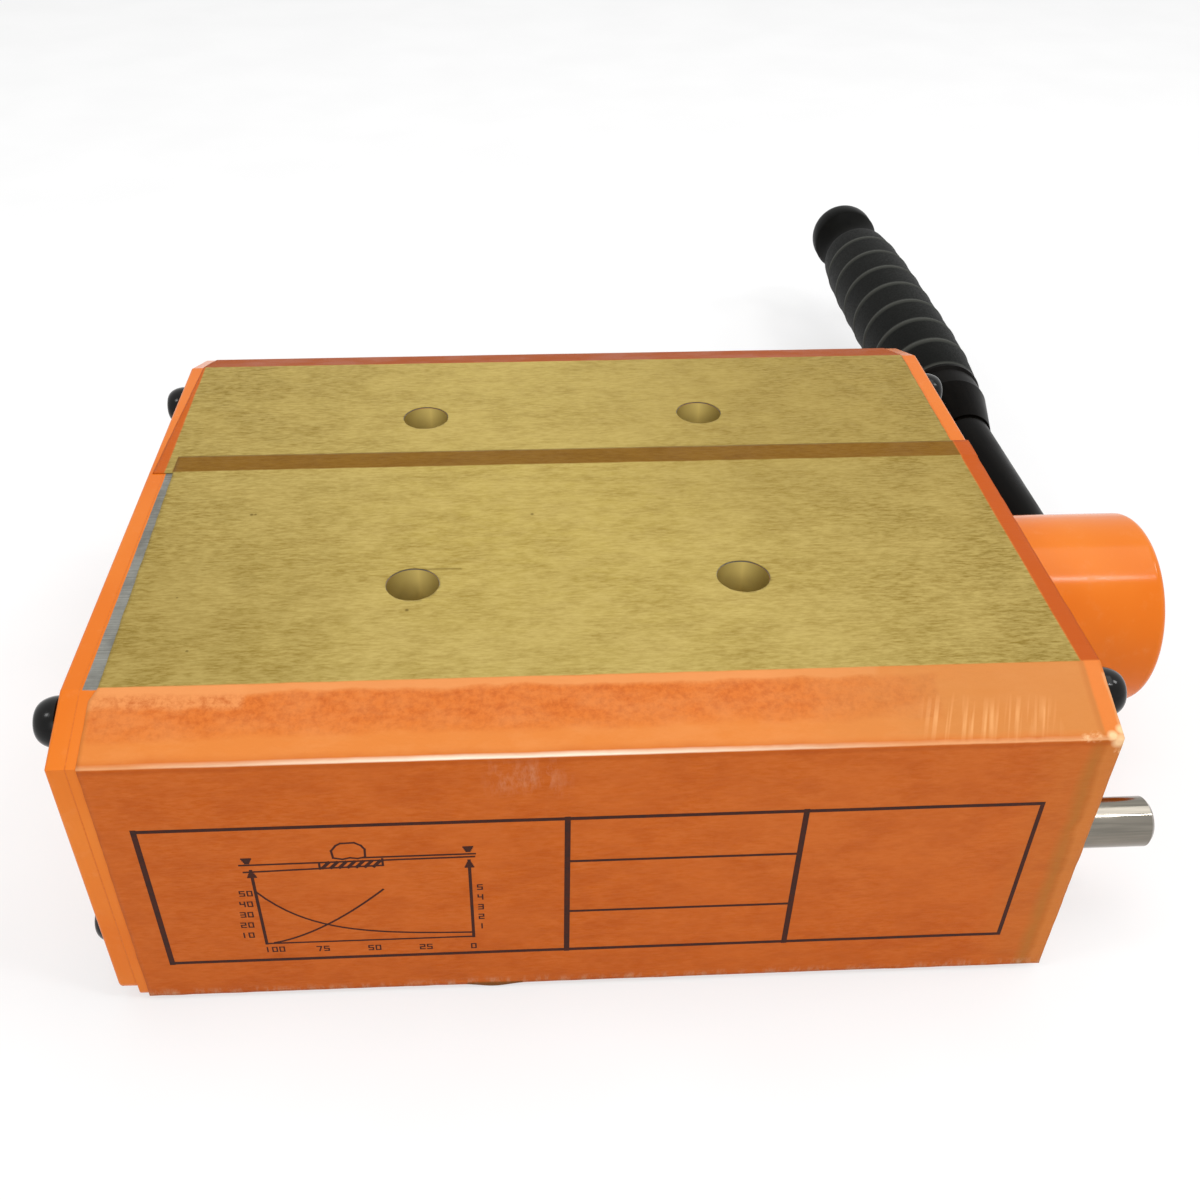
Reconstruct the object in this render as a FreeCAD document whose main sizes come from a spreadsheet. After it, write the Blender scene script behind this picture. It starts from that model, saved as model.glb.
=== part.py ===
import FreeCAD, Part
import math
import os
import re

import Sketcher

# Switchable magnet base. A magnet rotor turns in a bore between two pole blocks, driven by a lever.
# X runs along the block with the lever at its right end, the front faces -Y, the pole faces lie on Z = 0
# and the origin is the centre of the underside. Sizes are in millimetres.

doc = FreeCAD.newDocument("SwitchableMagnetBase")

# Driving dimensions, one row of the sheet each: name, value, what it is
sizes = [
    ("blockLength", 206, "pole blocks between the gaskets"),
    ("bodyDepth", 176, "front face to rear face"),
    ("bevelWidth", 17, "bevels along the top, from the front and rear faces"),
    ("bevelDrop", 6, "bevels along the top, in height"),
    ("bodyHeight", 80, "underside to top face"),
    ("bottomRound", 3, "round on the long lower edges"),
    ("rotorRadius", 25, "magnet rotor"),
    ("airGap", 0.5, "rotor to its bore in the pole blocks"),
    ("rootWall", 3.9, "divider between the V groove and the bore"),
    ("dividerWidth", 12, "strip between the pole faces"),
    ("grooveWidth", 44, "V groove at the underside"),
    ("grooveDepth", 9, "V groove"),
    ("slotWidth", 28, "magnet slot over the bore"),
    ("coverThickness", 6, "strip that closes the magnet slot"),
    ("statorMargin", 1, "bore to the fixed magnets"),
    ("magnetGap", 0.4, "between neighbouring magnets"),
    ("boltSpacingX", 75, "tapped holes of the top face, along the length"),
    ("boltSpacingY", 76.5, "tapped holes of the top face, across"),
    ("boltHoleRadius", 6, "core hole of an M14 thread"),
    ("boltHoleDepth", 22, "tapped holes"),
    ("gasketThickness", 0.3, "paper gasket behind each end plate"),
    ("plateThickness", 4, "end plates"),
    ("plateLift", 2.8, "lower edge of the end plates above the underside"),
    ("plateEdgeRound", 0.8, "round on the outer edges of the end plates"),
    ("notchMargin", 3, "notch of the end plates above the V groove"),
    ("screwRadius", 3, "M6 screws of the end plates"),
    ("screwLength", 16, "their shanks"),
    ("screwHeadRadius", 5.5, "their domed heads"),
    ("screwHeadHeight", 5.4, "their domed heads"),
    ("screwHeadRound", 4.4, "dome of the heads"),
    ("screwSocket", 2.3, "corner radius of their hexagon sockets"),
    ("screwSocketDepth", 2.5, "hexagon sockets"),
    ("screwTipGap", 0.5, "end of a screw to the bottom of its hole"),
    ("screwHighDrop", 7, "upper screws below the top face"),
    ("screwHighFront", 15, "upper front screws from the front face"),
    ("screwHighRear", 27, "upper rear screws from the rear face"),
    ("screwLow", 14, "lower screws above the underside"),
    ("screwLowInset", 12, "lower screws from the front and rear faces"),
    ("threadFit", 0.02, "radial clearance of a screw or a pin in its seat"),
    ("holeClearance", 0.3, "radial clearance of a screw in a plate"),
    ("headClearance", 0.1, "radial clearance of a screw head in its counterbore"),
    ("pinRadius", 6, "stop pins"),
    ("pinInset", 22.5, "stop pins from the front and rear faces"),
    ("pinReach", 28, "stop pins beyond the end plate"),
    ("pinSeat", 14, "stop pins inside the pole blocks"),
    ("pinChamfer", 0.8, "ends of the stop pins"),
    ("restGap", 0.05, "lever to stop pin at each end of the turn"),
    ("carrierThickness", 12, "bearing carriers"),
    ("plugFit", 0.02, "radial clearance of carriers, bushes and the seal in their seats"),
    ("shaftRadius", 12, "stub shafts"),
    ("bushWall", 3, "bronze bushes"),
    ("bushCollar", 3.95, "thrust collars of the bushes beyond their walls"),
    ("bushCollarThickness", 1.5, "thrust collars of the bushes"),
    ("runningFit", 0.05, "radial clearance of a shaft in its bush"),
    ("endPlay", 0.5, "rotor end play on each side"),
    ("sealWall", 4.7, "seal ring in the right end plate"),
    ("sealClearance", 0.3, "seal ring to shaft"),
    ("sealRecess", 0.2, "seal ring below the face of the plate"),
    ("flangeThickness", 6, "end discs of the rotor"),
    ("rotorMagnetWidth", 18, "rotor magnets between the rotor poles"),
    ("wedgeHeight", 6, "wedges over the rotor magnets, at their middle"),
    ("flangeScrewRadius", 2.5, "M5 screws of the end discs"),
    ("flangeScrewGrip", 12, "their shanks"),
    ("flangeScrewHead", 4.2, "radius of their heads"),
    ("flangeScrewHeadHeight", 3.5, "their heads"),
    ("flangeScrewSocket", 2.3, "corner radius of their sockets"),
    ("flangeScrewSocketDepth", 1.75, "their sockets"),
    ("flangeScrewSink", 3.8, "counterbores of the end discs"),
    ("flangeScrewPassage", 0.2, "radial clearance of their shanks in the end discs"),
    ("cutMargin", 1, "how far a cutting outline runs past what it cuts"),
    ("stubGap", 0.5, "left stub shaft to the end of the block"),
    ("shaftChamfer", 1, "outer end of the drive shaft"),
    ("hubGap", 1.5, "right end plate to the hub"),
    ("hubReach", 45, "outer end of the hub beyond the end plate"),
    ("hubRadius", 25.75, "hub"),
    ("hubRound", 2.6, "outer rim of the hub"),
    ("hubChamfer", 0.8, "inner rim of the hub"),
    ("hubEndWall", 9, "hub beyond the end of the shaft"),
    ("shaftTipGap", 0.3, "end of the shaft to the bottom of its bore"),
    ("keyWidth", 6, "shaft key"),
    ("keyHeight", 6, "shaft key"),
    ("keyLength", 14, "shaft key"),
    ("keyStart", 3, "key from the inner end of the hub"),
    ("setScrewRadius", 4, "set screw in the hub"),
    ("setScrewSink", 1.75, "set screw below the surface of the hub"),
    ("setScrewSocket", 2.3, "corner radius of its socket"),
    ("setScrewSocketDepth", 4, "its socket"),
    ("leverOffset", 29.7, "lever beyond the end plate"),
    ("tubeRadius", 8.25, "lever tube"),
    ("tubeBore", 4.6, "radius of its bore"),
    ("tubeGap", 2, "inner end of the tube to the shaft"),
    ("tubeEnd", 240, "outer end of the tube from the rotor axis"),
    ("sleeveFit", 0.02, "radial clearance of the sleeves on the tube"),
    ("coneStart", 93, "thin end of the cone from the rotor axis"),
    ("coneLength", 17, "cone"),
    ("coneTipWall", 0.63, "thin end of the cone"),
    ("coneWall", 4.33, "thick end of the cone, and the ferrule"),
    ("ferruleLength", 11, "ferrule between cone and grip"),
    ("ferruleStep", 0.8, "collar of the ferrule beyond the cone"),
    ("ferruleLip", 1.4, "length of that collar, and of the slope up to it"),
    ("gripLength", 129, "grip"),
    ("gripEndRadius", 13.3, "grip at both ends"),
    ("gripBulge", 2, "how much thicker the grip is at its middle"),
    ("gripShoulder", 3, "rounded shoulder at the grip's outer end"),
    ("ridgeHeight", 0.5, "raised rings of the grip"),
    ("ridgeWidth", 2.4, "raised rings of the grip"),
    ("neckRadius", 9.1, "neck of the button"),
    ("neckClearance", 0.3, "neck to grip"),
    ("buttonTravel", 6, "how far the button goes in"),
    ("buttonMargin", 2, "button to tube when it is pressed"),
    ("neckLength", 9, "neck of the button"),
    ("flareLength", 11, "trumpet between the neck and the rim"),
    ("knobLength", 37, "whole head of the button"),
    ("knobRadius", 13.25, "rim of the button"),
    ("knobDome", 8.5, "rounded outer end of the button"),
    ("knobRim", 1.5, "bevel at the back of the rim"),
    ("stemLength", 22, "stem of the button in the tube"),
    ("stemFit", 0.05, "radial clearance of the stem in the tube"),
    ("rodRadius", 3, "push rod"),
    ("rodGrip", 14, "push rod inside the stem"),
    ("rodStart", 24, "inner tip of the push rod from the rotor axis"),
    ("rodTip", 2, "cone at its tip"),
    ("springRoom", 33, "spring between seat and stem"),
    ("springMeanRadius", 3.8, "spring"),
    ("springWire", 0.38, "corner radius of the spring's hexagonal wire"),
    ("springEndGap", 0.1, "spring to its seats"),
    ("springTurns", 4, "turns of the spring"),
    ("seatLength", 3, "spring seat"),
    ("seatFit", 0.1, "radial clearance of the rod in the seat"),
    ("clipWidth", 1, "clip on the push rod"),
    ("clipRadius", 4.2, "clip on the push rod"),
    ("clipGap", 0.1, "clip to spring seat at rest"),
    ("wrapThickness", 0.25, "sheets of wrapping paper"),
    ("lapCentre", 16, "middle of the strip where the two sheets overlap"),
    ("lapWidth", 8, "strip where the two sheets overlap"),
    ("wrapHem", 1, "lower edge of the paper above the underside"),
    ("frontWrapInset", 2, "bare steel left of the front sheet"),
    ("rearWrapInset", 0.6, "bare steel right of the rear sheet"),
    ("wrapHoleMargin", 0.3, "holes of the paper around the tapped holes"),
]

statorMagnetCount = 5
rotorMagnetCount = 4
gripRings = 7
roundSteps = 3
flangeScrewAngles = (30, 150, 210, 330)

# Places that follow from the sizes: name and formula
places = [
    ("blockEnd", "blockLength / 2"),
    ("plateInner", "blockEnd + gasketThickness"),
    ("plateOuter", "plateInner + plateThickness"),
    ("faceY", "bodyDepth / 2"),
    ("topY", "faceY - bevelWidth"),
    ("faceHeight", "bodyHeight - bevelDrop"),
    ("boreRadius", "rotorRadius + airGap"),
    ("axisHeight", "grooveDepth + rootWall + boreRadius"),
    ("bevelAngle", "atan(bevelDrop / bevelWidth)"),
    ("grooveAtDivider", "grooveDepth * (1 - dividerWidth / grooveWidth)"),
    ("notchTop", "grooveDepth + notchMargin"),
    ("notchHalf", "(notchTop - plateLift) * grooveWidth / 2 / grooveDepth"),
    ("magnetLow", "axisHeight + boreRadius + statorMargin"),
    ("magnetHigh", "bodyHeight - coverThickness"),
    ("screwHigh", "bodyHeight - screwHighDrop"),
    ("pinY", "faceY - pinInset"),
    ("pinHeight", "axisHeight - tubeRadius - pinRadius - restGap"),
    ("bushRadius", "shaftRadius + runningFit + bushWall"),
    ("collarRadius", "bushRadius + bushCollar"),
    ("sealRadius", "shaftRadius + sealClearance + sealWall"),
    ("rotorMagnetHeight", "2 * (rotorRadius - wedgeHeight)"),
    ("flangeScrewCircle", "(shaftRadius + rotorRadius) / 2"),
    ("carrierInner", "blockEnd - carrierThickness"),
    ("rotorEnd", "carrierInner - bushCollarThickness - endPlay"),
    ("coreEnd", "rotorEnd - flangeThickness"),
    ("hubInner", "plateOuter + hubGap"),
    ("hubOuter", "plateOuter + hubReach"),
    ("shaftBoreEnd", "hubOuter - hubEndWall"),
    ("shaftEnd", "shaftBoreEnd - shaftTipGap"),
    ("keyLow", "shaftRadius - keyHeight / 2"),
    ("keyHigh", "shaftRadius + keyHeight / 2"),
    ("keyX", "hubInner + keyStart"),
    ("setScrewLength", "hubRadius - shaftRadius - setScrewSink"),
    ("leverX", "plateOuter + leverOffset"),
    ("tubeStart", "shaftRadius + tubeGap"),
    ("sleeveBore", "tubeRadius + sleeveFit"),
    ("coneTipRadius", "sleeveBore + coneTipWall"),
    ("coneRadius", "sleeveBore + coneWall"),
    ("ferruleRadius", "coneRadius + ferruleStep"),
    ("coneEnd", "coneStart + coneLength"),
    ("gripStart", "coneEnd + ferruleLength"),
    ("gripEnd", "gripStart + gripLength"),
    ("gripMiddle", "(gripStart + gripEnd) / 2"),
    ("neckStart", "tubeEnd + buttonTravel + buttonMargin"),
    ("knobEnd", "neckStart + knobLength"),
    ("flareStart", "neckStart + neckLength"),
    ("flareEnd", "flareStart + flareLength"),
    ("stemStart", "neckStart - stemLength"),
    ("stemRadius", "tubeBore - stemFit"),
    ("rodEnd", "stemStart + rodGrip"),
    ("seatEnd", "stemStart - springRoom"),
    ("seatStart", "seatEnd - seatLength"),
    ("clipEnd", "seatStart - clipGap"),
    ("springLength", "springRoom - 2 * (springEndGap + springWire)"),
    ("lapFront", "lapCentre - lapWidth / 2"),
    ("lapRear", "lapCentre + lapWidth / 2"),
    ("overPaper", "bodyHeight + 2 * wrapThickness + cutMargin"),
    ("wrapTopCorner", "wrapThickness * tan(bevelAngle / 2)"),
    ("wrapFaceCorner", "wrapThickness * tan((90 deg - bevelAngle) / 2)"),
]

sizeNames = {name for name, value, note in sizes}
placeNames = {name for name, formula in places}


def bound(formula):
    """Writes a formula's names the way the document looks them up."""

    def home(match):
        word = match.group()
        if word in sizeNames:
            return "Sizes." + word
        if word in placeNames:
            return "Places." + word
        return word

    return re.sub(r"[A-Za-z]\w*", home, formula)


sizeSheet = doc.addObject("Spreadsheet::Sheet", "Sizes")
for row, (name, value, note) in enumerate(sizes, start=1):
    sizeSheet.set(f"A{row}", name)
    sizeSheet.set(f"B{row}", str(value))
    sizeSheet.set(f"C{row}", note)
    sizeSheet.setAlias(f"B{row}", name)
placeSheet = doc.addObject("Spreadsheet::Sheet", "Places")
for row, (name, formula) in enumerate(places, start=1):
    placeSheet.set(f"A{row}", name)
    placeSheet.setAlias(f"B{row}", name)
for row, (name, formula) in enumerate(places, start=1):
    placeSheet.set(f"B{row}", "=" + bound(formula).replace("Places.", ""))
doc.recompute()


def size(name):
    """A size or a place as a number, for picking edges."""
    sheet = sizeSheet if name in sizeNames else placeSheet
    return float(sheet.get(name))


nodes = []


def keep(piece, label):
    """Names a finished piece and lists it for writing."""
    piece.Label = label
    nodes.append(piece)
    return piece


def put(piece, x="0", y="0", z="0", turn=None):
    """Places a piece, turned by an axis and an angle first."""
    if turn:
        piece.Placement = FreeCAD.Placement(FreeCAD.Vector(), FreeCAD.Rotation(*turn))
    for letter, formula in zip("xyz", (x, y, z)):
        piece.setExpression(f".Placement.Base.{letter}", bound(formula))


# Turns that carry a piece made along its own X axis to another direction
toRear = (FreeCAD.Vector(0, 0, 1), 90)
toLeft = (FreeCAD.Vector(0, 0, 1), 180)
toBelow = (FreeCAD.Vector(0, 1, 0), 90)


def newBody(name):
    return doc.addObject("PartDesign::Body", name)


def newSketch(body, role, offset="0"):
    """A sketch on one of the body's own origin planes, moved along that plane's normal."""
    plane = next(item for item in body.Origin.OriginFeatures if item.Role == role)
    sketch = body.newObject("Sketcher::SketchObject", body.Name + "_sketch")
    sketch.AttachmentSupport = [(plane, "")]
    sketch.MapMode = "FlatFace"
    sketch.setExpression("AttachmentOffset.Base.z", bound(offset))
    return sketch


# An outline is drafted on a circle of this radius before its dimensions pull it into shape
draftRadius = 50


def polygon(sketch, corners):
    """A closed outline whose corners are held by two dimensions each."""
    first = sketch.GeometryCount
    count = len(corners)
    drafted = []
    for i in range(count):
        angle = math.tau * i / count
        drafted.append(FreeCAD.Vector(draftRadius * math.cos(angle), draftRadius * math.sin(angle), 0))
    for i in range(count):
        sketch.addGeometry(Part.LineSegment(drafted[i], drafted[(i + 1) % count]))
    for i in range(count):
        nextOne = first + (i + 1) % count
        sketch.addConstraint(Sketcher.Constraint("Coincident", first + i, 2, nextOne, 1))
    for i, corner in enumerate(corners):
        for kind, formula, start in zip(("DistanceX", "DistanceY"), corner, drafted[i]):
            index = sketch.addConstraint(Sketcher.Constraint(kind, -1, 1, first + i, 1, start))
            sketch.setExpression(f"Constraints[{index}]", bound(formula))


def circle(sketch, across, up, radius):
    """A circle held by its centre and radius."""
    index = sketch.GeometryCount
    sketch.addGeometry(Part.Circle(FreeCAD.Vector(1, 1, 0), FreeCAD.Vector(0, 0, 1), 1))
    for kind, formula in (("DistanceX", across), ("DistanceY", up)):
        held = sketch.addConstraint(Sketcher.Constraint(kind, -1, 1, index, 3, 1))
        sketch.setExpression(f"Constraints[{held}]", bound(formula))
    held = sketch.addConstraint(Sketcher.Constraint("Radius", index, 1))
    sketch.setExpression(f"Constraints[{held}]", bound(radius))


def hexagon(sketch, across, up, radius):
    corners = []
    for angle in range(0, 360, 60):
        corners.append((f"{across} + {radius} * cos({angle} deg)", f"{up} + {radius} * sin({angle} deg)"))
    polygon(sketch, corners)


def pad(body, sketch, length):
    """Raises the sketch along its own normal."""
    feature = body.newObject("PartDesign::Pad", body.Name + "_pad")
    feature.Profile = sketch
    feature.setExpression("Length", bound(length))
    doc.recompute()
    return feature


def pocket(body, sketch, depth=None, along=True):
    """Cuts the sketch along its normal or against it, and makes sure that it cut something."""
    before = body.Shape.Volume
    feature = body.newObject("PartDesign::Pocket", body.Name + "_pocket")
    feature.Profile = sketch
    feature.Reversed = along
    if depth is None:
        feature.Type = "ThroughAll"
    else:
        feature.setExpression("Length", bound(depth))
    doc.recompute()
    if body.Shape.Volume > before - 0.01:
        raise ValueError(f"a pocket of {body.Name} cuts nothing")
    return feature


def turned(name, profile):
    """A turned piece about its own X axis, from corners given as place along the axis and radius."""
    body = newBody(name)
    sketch = newSketch(body, "XY_Plane")
    polygon(sketch, profile)
    feature = body.newObject("PartDesign::Revolution", name + "_turning")
    feature.Profile = sketch
    feature.ReferenceAxis = (sketch, ["H_Axis"])
    feature.Angle = 360
    doc.recompute()
    return body


def ring(name, start, end, inner, outer):
    return turned(name, [(start, inner), (end, inner), (end, outer), (start, outer)])


def roundedCorner(x, radius, bend):
    """The outer corner of a turned profile as a few straight steps, which keep the mesh light."""
    corners = []
    for i in range(roundSteps + 1):
        angle = 90 * i / roundSteps
        along = f"{x} - {bend} * (1 - sin({angle} deg))"
        corners.append((along, f"{radius} - {bend} * (1 - cos({angle} deg))"))
    return corners


def edgesWhere(body, test):
    return [f"Edge{i + 1}" for i, edge in enumerate(body.Tip.Shape.Edges) if test(edge)]


def soften(body, kind, radius, test):
    """A fillet or a chamfer on the edges that pass the test."""
    names = edgesWhere(body, test)
    if not names:
        raise ValueError(f"{body.Name} has no edge to soften")
    base = body.Tip
    feature = body.newObject("PartDesign::" + kind, body.Name + "_" + kind.lower())
    feature.Base = (base, names)
    feature.setExpression("Radius" if kind == "Fillet" else "Size", bound(radius))
    doc.recompute()
    return feature


def near(a, b):
    return abs(a - b) < 0.001


def rimAt(x, radius):
    """Picks the circular edge about the X axis at one place along it."""

    def test(edge):
        box = edge.BoundBox
        return near(box.XMin, x) and near(box.XMax, x) and near(box.YMax, radius)

    return test


def box(name, low, length, width, height):
    piece = doc.addObject("Part::Box", name)
    for side, formula in (("Length", length), ("Width", width), ("Height", height)):
        piece.setExpression(side, bound(formula))
    put(piece, *low)
    return piece


def group(label, pieces):
    piece = doc.addObject("Part::Compound", label)
    piece.Links = pieces
    return keep(piece, label)


def copies(label, template, spots, turn=None):
    """One node with a copy of the template at each spot."""
    links = []
    for i, spot in enumerate(spots):
        link = doc.addObject("App::Link", f"{label}_{i}")
        link.LinkedObject = template
        put(link, *spot, turn=turn)
        links.append(link)
    return group(label, links)


def signed(sign, formula):
    return formula if sign > 0 else f"-({formula})"


# Pole blocks and what lies between them


def screwSpots(side):
    """The two end plate screws of the front or the rear half."""
    upper = "faceY - screwHighRear" if side > 0 else "faceY - screwHighFront"
    return [(signed(side, upper), "screwHigh"), (signed(side, "faceY - screwLowInset"), "screwLow")]


def poleBlock(label, side):
    """Half of the steel body, with its half of the bore and of the groove."""
    body = newBody(label)
    sketch = newSketch(body, "YZ_Plane", "-blockEnd")
    outline = [
        ("faceY", "0"),
        ("faceY", "faceHeight"),
        ("topY", "bodyHeight"),
        ("slotWidth / 2", "bodyHeight"),
        ("slotWidth / 2", "axisHeight"),
        ("dividerWidth / 2", "axisHeight"),
        ("dividerWidth / 2", "grooveAtDivider"),
        ("grooveWidth / 2", "0"),
    ]
    polygon(sketch, [(signed(side, y), z) for y, z in outline])
    pad(body, sketch, "blockLength")
    bore = newSketch(body, "YZ_Plane", "-blockEnd")
    circle(bore, "0", "axisHeight", "boreRadius")
    pocket(body, bore)
    tapped = newSketch(body, "XY_Plane", "bodyHeight")
    for end in (-1, 1):
        circle(tapped, signed(end, "boltSpacingX / 2"), signed(side, "boltSpacingY / 2"), "boltHoleRadius")
    pocket(body, tapped, "boltHoleDepth", along=False)
    for end in (-1, 1):
        ends = newSketch(body, "YZ_Plane", signed(end, "blockEnd"))
        for y, z in screwSpots(side):
            circle(ends, y, z, "screwRadius + threadFit")
        pocket(body, ends, "screwLength", along=end < 0)
    stop = newSketch(body, "YZ_Plane", "blockEnd")
    circle(stop, signed(side, "pinY"), "pinHeight", "pinRadius + threadFit")
    pocket(body, stop, "pinSeat", along=False)
    faceY = side * size("faceY")

    def lowerEdge(edge):
        bounds = edge.BoundBox
        return near(bounds.ZMax, 0) and near(bounds.YMin, faceY) and near(bounds.YMax, faceY)

    soften(body, "Fillet", "bottomRound", lowerEdge)
    keep(body, label)


poleBlock("front_pole_block", -1)
poleBlock("rear_pole_block", 1)

divider = newBody("bottom_divider")
dividerSketch = newSketch(divider, "YZ_Plane", "-blockEnd")
polygon(
    dividerSketch,
    [
        ("-dividerWidth / 2", "grooveAtDivider"),
        ("0", "grooveDepth"),
        ("dividerWidth / 2", "grooveAtDivider"),
        ("dividerWidth / 2", "axisHeight"),
        ("-dividerWidth / 2", "axisHeight"),
    ],
)
pad(divider, dividerSketch, "blockLength")
dividerBore = newSketch(divider, "YZ_Plane", "-blockEnd")
circle(dividerBore, "0", "axisHeight", "boreRadius")
pocket(divider, dividerBore)
keep(divider, "bottom_divider")

statorPitch = f"blockLength / {statorMagnetCount}"
statorRow = [
    box(
        f"stator_magnet_{i}",
        (f"-blockEnd + {i} * {statorPitch} + magnetGap / 2", "-slotWidth / 2", "magnetLow"),
        f"{statorPitch} - magnetGap",
        "slotWidth",
        "magnetHigh - magnetLow",
    )
    for i in range(statorMagnetCount)
]
group("stator_magnets", statorRow)
keep(
    box(
        "magnet_cover_strip",
        ("-blockEnd", "-slotWidth / 2", "magnetHigh"),
        "blockLength",
        "slotWidth",
        "coverThickness",
    ),
    "magnet_cover_strip",
)

# End plates, gaskets and their screws

endOutline = [
    ("-faceY", "plateLift"),
    ("-faceY", "faceHeight"),
    ("-topY", "bodyHeight"),
    ("topY", "bodyHeight"),
    ("faceY", "faceHeight"),
    ("faceY", "plateLift"),
    ("notchHalf", "plateLift"),
    ("0", "notchTop"),
    ("-notchHalf", "plateLift"),
]


def endSheet(label, end, inner, thickness, outside):
    """An end plate or its gasket: the outline of the body, raised a little, with the holes of its end."""
    body = newBody(label)
    start = inner if end > 0 else f"-({inner} + {thickness})"
    sketch = newSketch(body, "YZ_Plane", start)
    polygon(sketch, endOutline)
    pad(body, sketch, thickness)
    holes = newSketch(body, "YZ_Plane", start)
    for side in (-1, 1):
        for y, z in screwSpots(side):
            circle(holes, y, z, "screwRadius + holeClearance")
        if end > 0:
            circle(holes, signed(side, "pinY"), "pinHeight", "pinRadius + threadFit")
    if end > 0:
        circle(holes, "0", "axisHeight", "sealRadius")
    pocket(body, holes)
    lift = size("plateLift")
    half = size("faceY")
    top = size("topY")
    outer = end * size("plateOuter")

    def lowerCorner(edge):
        bounds = edge.BoundBox
        flat = near(bounds.ZMax, lift) and near(bounds.YMin, bounds.YMax)
        return flat and near(abs(bounds.YMin), half)

    def outerRim(edge):
        bounds = edge.BoundBox
        onFace = near(bounds.XMin, outer) and near(bounds.XMax, outer)
        straight = not isinstance(edge.Curve, Part.Circle)
        return onFace and straight and (bounds.YMax > top or bounds.YMin < -top)

    soften(body, "Fillet", "bottomRound", lowerCorner)
    if outside:
        soften(body, "Fillet", "plateEdgeRound", outerRim)
    keep(body, label)


for endName, end in (("left", -1), ("right", 1)):
    endSheet(f"{endName}_gasket", end, "blockEnd", "gasketThickness", False)
    endSheet(f"{endName}_end_plate", end, "plateInner", "plateThickness", True)

plateScrew = turned(
    "plate_screw",
    [
        ("-screwLength + screwTipGap", "0"),
        ("-screwLength + screwTipGap", "screwRadius"),
        ("0", "screwRadius"),
        ("0", "screwHeadRadius"),
        *roundedCorner("screwHeadHeight", "screwHeadRadius", "screwHeadRound"),
        ("screwHeadHeight", "0"),
    ],
)
socket = newSketch(plateScrew, "YZ_Plane", "screwHeadHeight")
hexagon(socket, "0", "0", "screwSocket")
pocket(plateScrew, socket, "screwSocketDepth", along=False)
for endName, end, turn in (("left", -1, toLeft), ("right", 1, None)):
    spots = [(signed(end, "plateOuter"), y, z) for side in (-1, 1) for y, z in screwSpots(side)]
    copies(f"{endName}_plate_screws", plateScrew, spots, turn)

# Bearings, seal and stop pins

for endName, turn in (("left", toLeft), ("right", None)):
    carrier = ring(
        f"{endName}_bearing_carrier",
        "carrierInner",
        "blockEnd",
        "bushRadius + plugFit",
        "boreRadius - plugFit",
    )
    put(carrier, z="axisHeight", turn=turn)
    keep(carrier, f"{endName}_bearing_carrier")
    bush = turned(
        f"{endName}_shaft_bush",
        [
            ("carrierInner - bushCollarThickness", "shaftRadius + runningFit"),
            ("blockEnd", "shaftRadius + runningFit"),
            ("blockEnd", "bushRadius"),
            ("carrierInner", "bushRadius"),
            ("carrierInner", "collarRadius"),
            ("carrierInner - bushCollarThickness", "collarRadius"),
        ],
    )
    put(bush, z="axisHeight", turn=turn)
    keep(bush, f"{endName}_shaft_bush")

seal = ring(
    "shaft_seal",
    "blockEnd",
    "plateOuter - sealRecess",
    "shaftRadius + sealClearance",
    "sealRadius - plugFit",
)
put(seal, z="axisHeight")
keep(seal, "shaft_seal")

stopPin = turned(
    "stop_pin",
    [
        ("blockEnd - pinSeat", "0"),
        ("blockEnd - pinSeat", "pinRadius"),
        ("plateOuter + pinReach - pinChamfer", "pinRadius"),
        ("plateOuter + pinReach", "pinRadius - pinChamfer"),
        ("plateOuter + pinReach", "0"),
    ],
)
copies("front_stop_pin", stopPin, [("0", "-pinY", "pinHeight")])
copies("rear_stop_pin", stopPin, [("0", "pinY", "pinHeight")])

# Rotor: two steel poles, a row of magnets between them, and end discs with stub shafts


def flangeScrewSpot(angle):
    return f"flangeScrewCircle * cos({angle} deg)", f"flangeScrewCircle * sin({angle} deg)"


def rotorPole(label, side):
    """A segment of the rotor in front of or behind its magnets."""
    body = newBody(label)
    sketch = newSketch(body, "YZ_Plane", "-coreEnd")
    circle(sketch, "0", "0", "rotorRadius")
    pad(body, sketch, "2 * coreEnd")
    flat = newSketch(body, "YZ_Plane", "-coreEnd")
    wide = "rotorRadius + cutMargin"
    inside = signed(side, "rotorMagnetWidth / 2")
    outside = signed(-side, wide)
    polygon(flat, [(inside, f"-({wide})"), (inside, wide), (outside, wide), (outside, f"-({wide})")])
    pocket(body, flat)
    depth = "flangeScrewGrip - flangeThickness + flangeScrewSink + screwTipGap"
    for end in (-1, 1):
        holes = newSketch(body, "YZ_Plane", signed(end, "coreEnd"))
        for angle in flangeScrewAngles:
            if side * math.cos(math.radians(angle)) > 0:
                circle(holes, *flangeScrewSpot(angle), "flangeScrewRadius + threadFit")
        pocket(body, holes, depth, along=end < 0)
    put(body, z="axisHeight")
    keep(body, label)


rotorPole("rotor_pole_front", -1)
rotorPole("rotor_pole_rear", 1)

rotorPitch = f"2 * coreEnd / {rotorMagnetCount}"
rotorRow = [
    box(
        f"rotor_magnet_{i}",
        (
            f"-coreEnd + {i} * {rotorPitch} + magnetGap / 2",
            "-rotorMagnetWidth / 2",
            "axisHeight - rotorMagnetHeight / 2",
        ),
        f"{rotorPitch} - magnetGap",
        "rotorMagnetWidth",
        "rotorMagnetHeight",
    )
    for i in range(rotorMagnetCount)
]
group("rotor_magnets", rotorRow)

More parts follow.
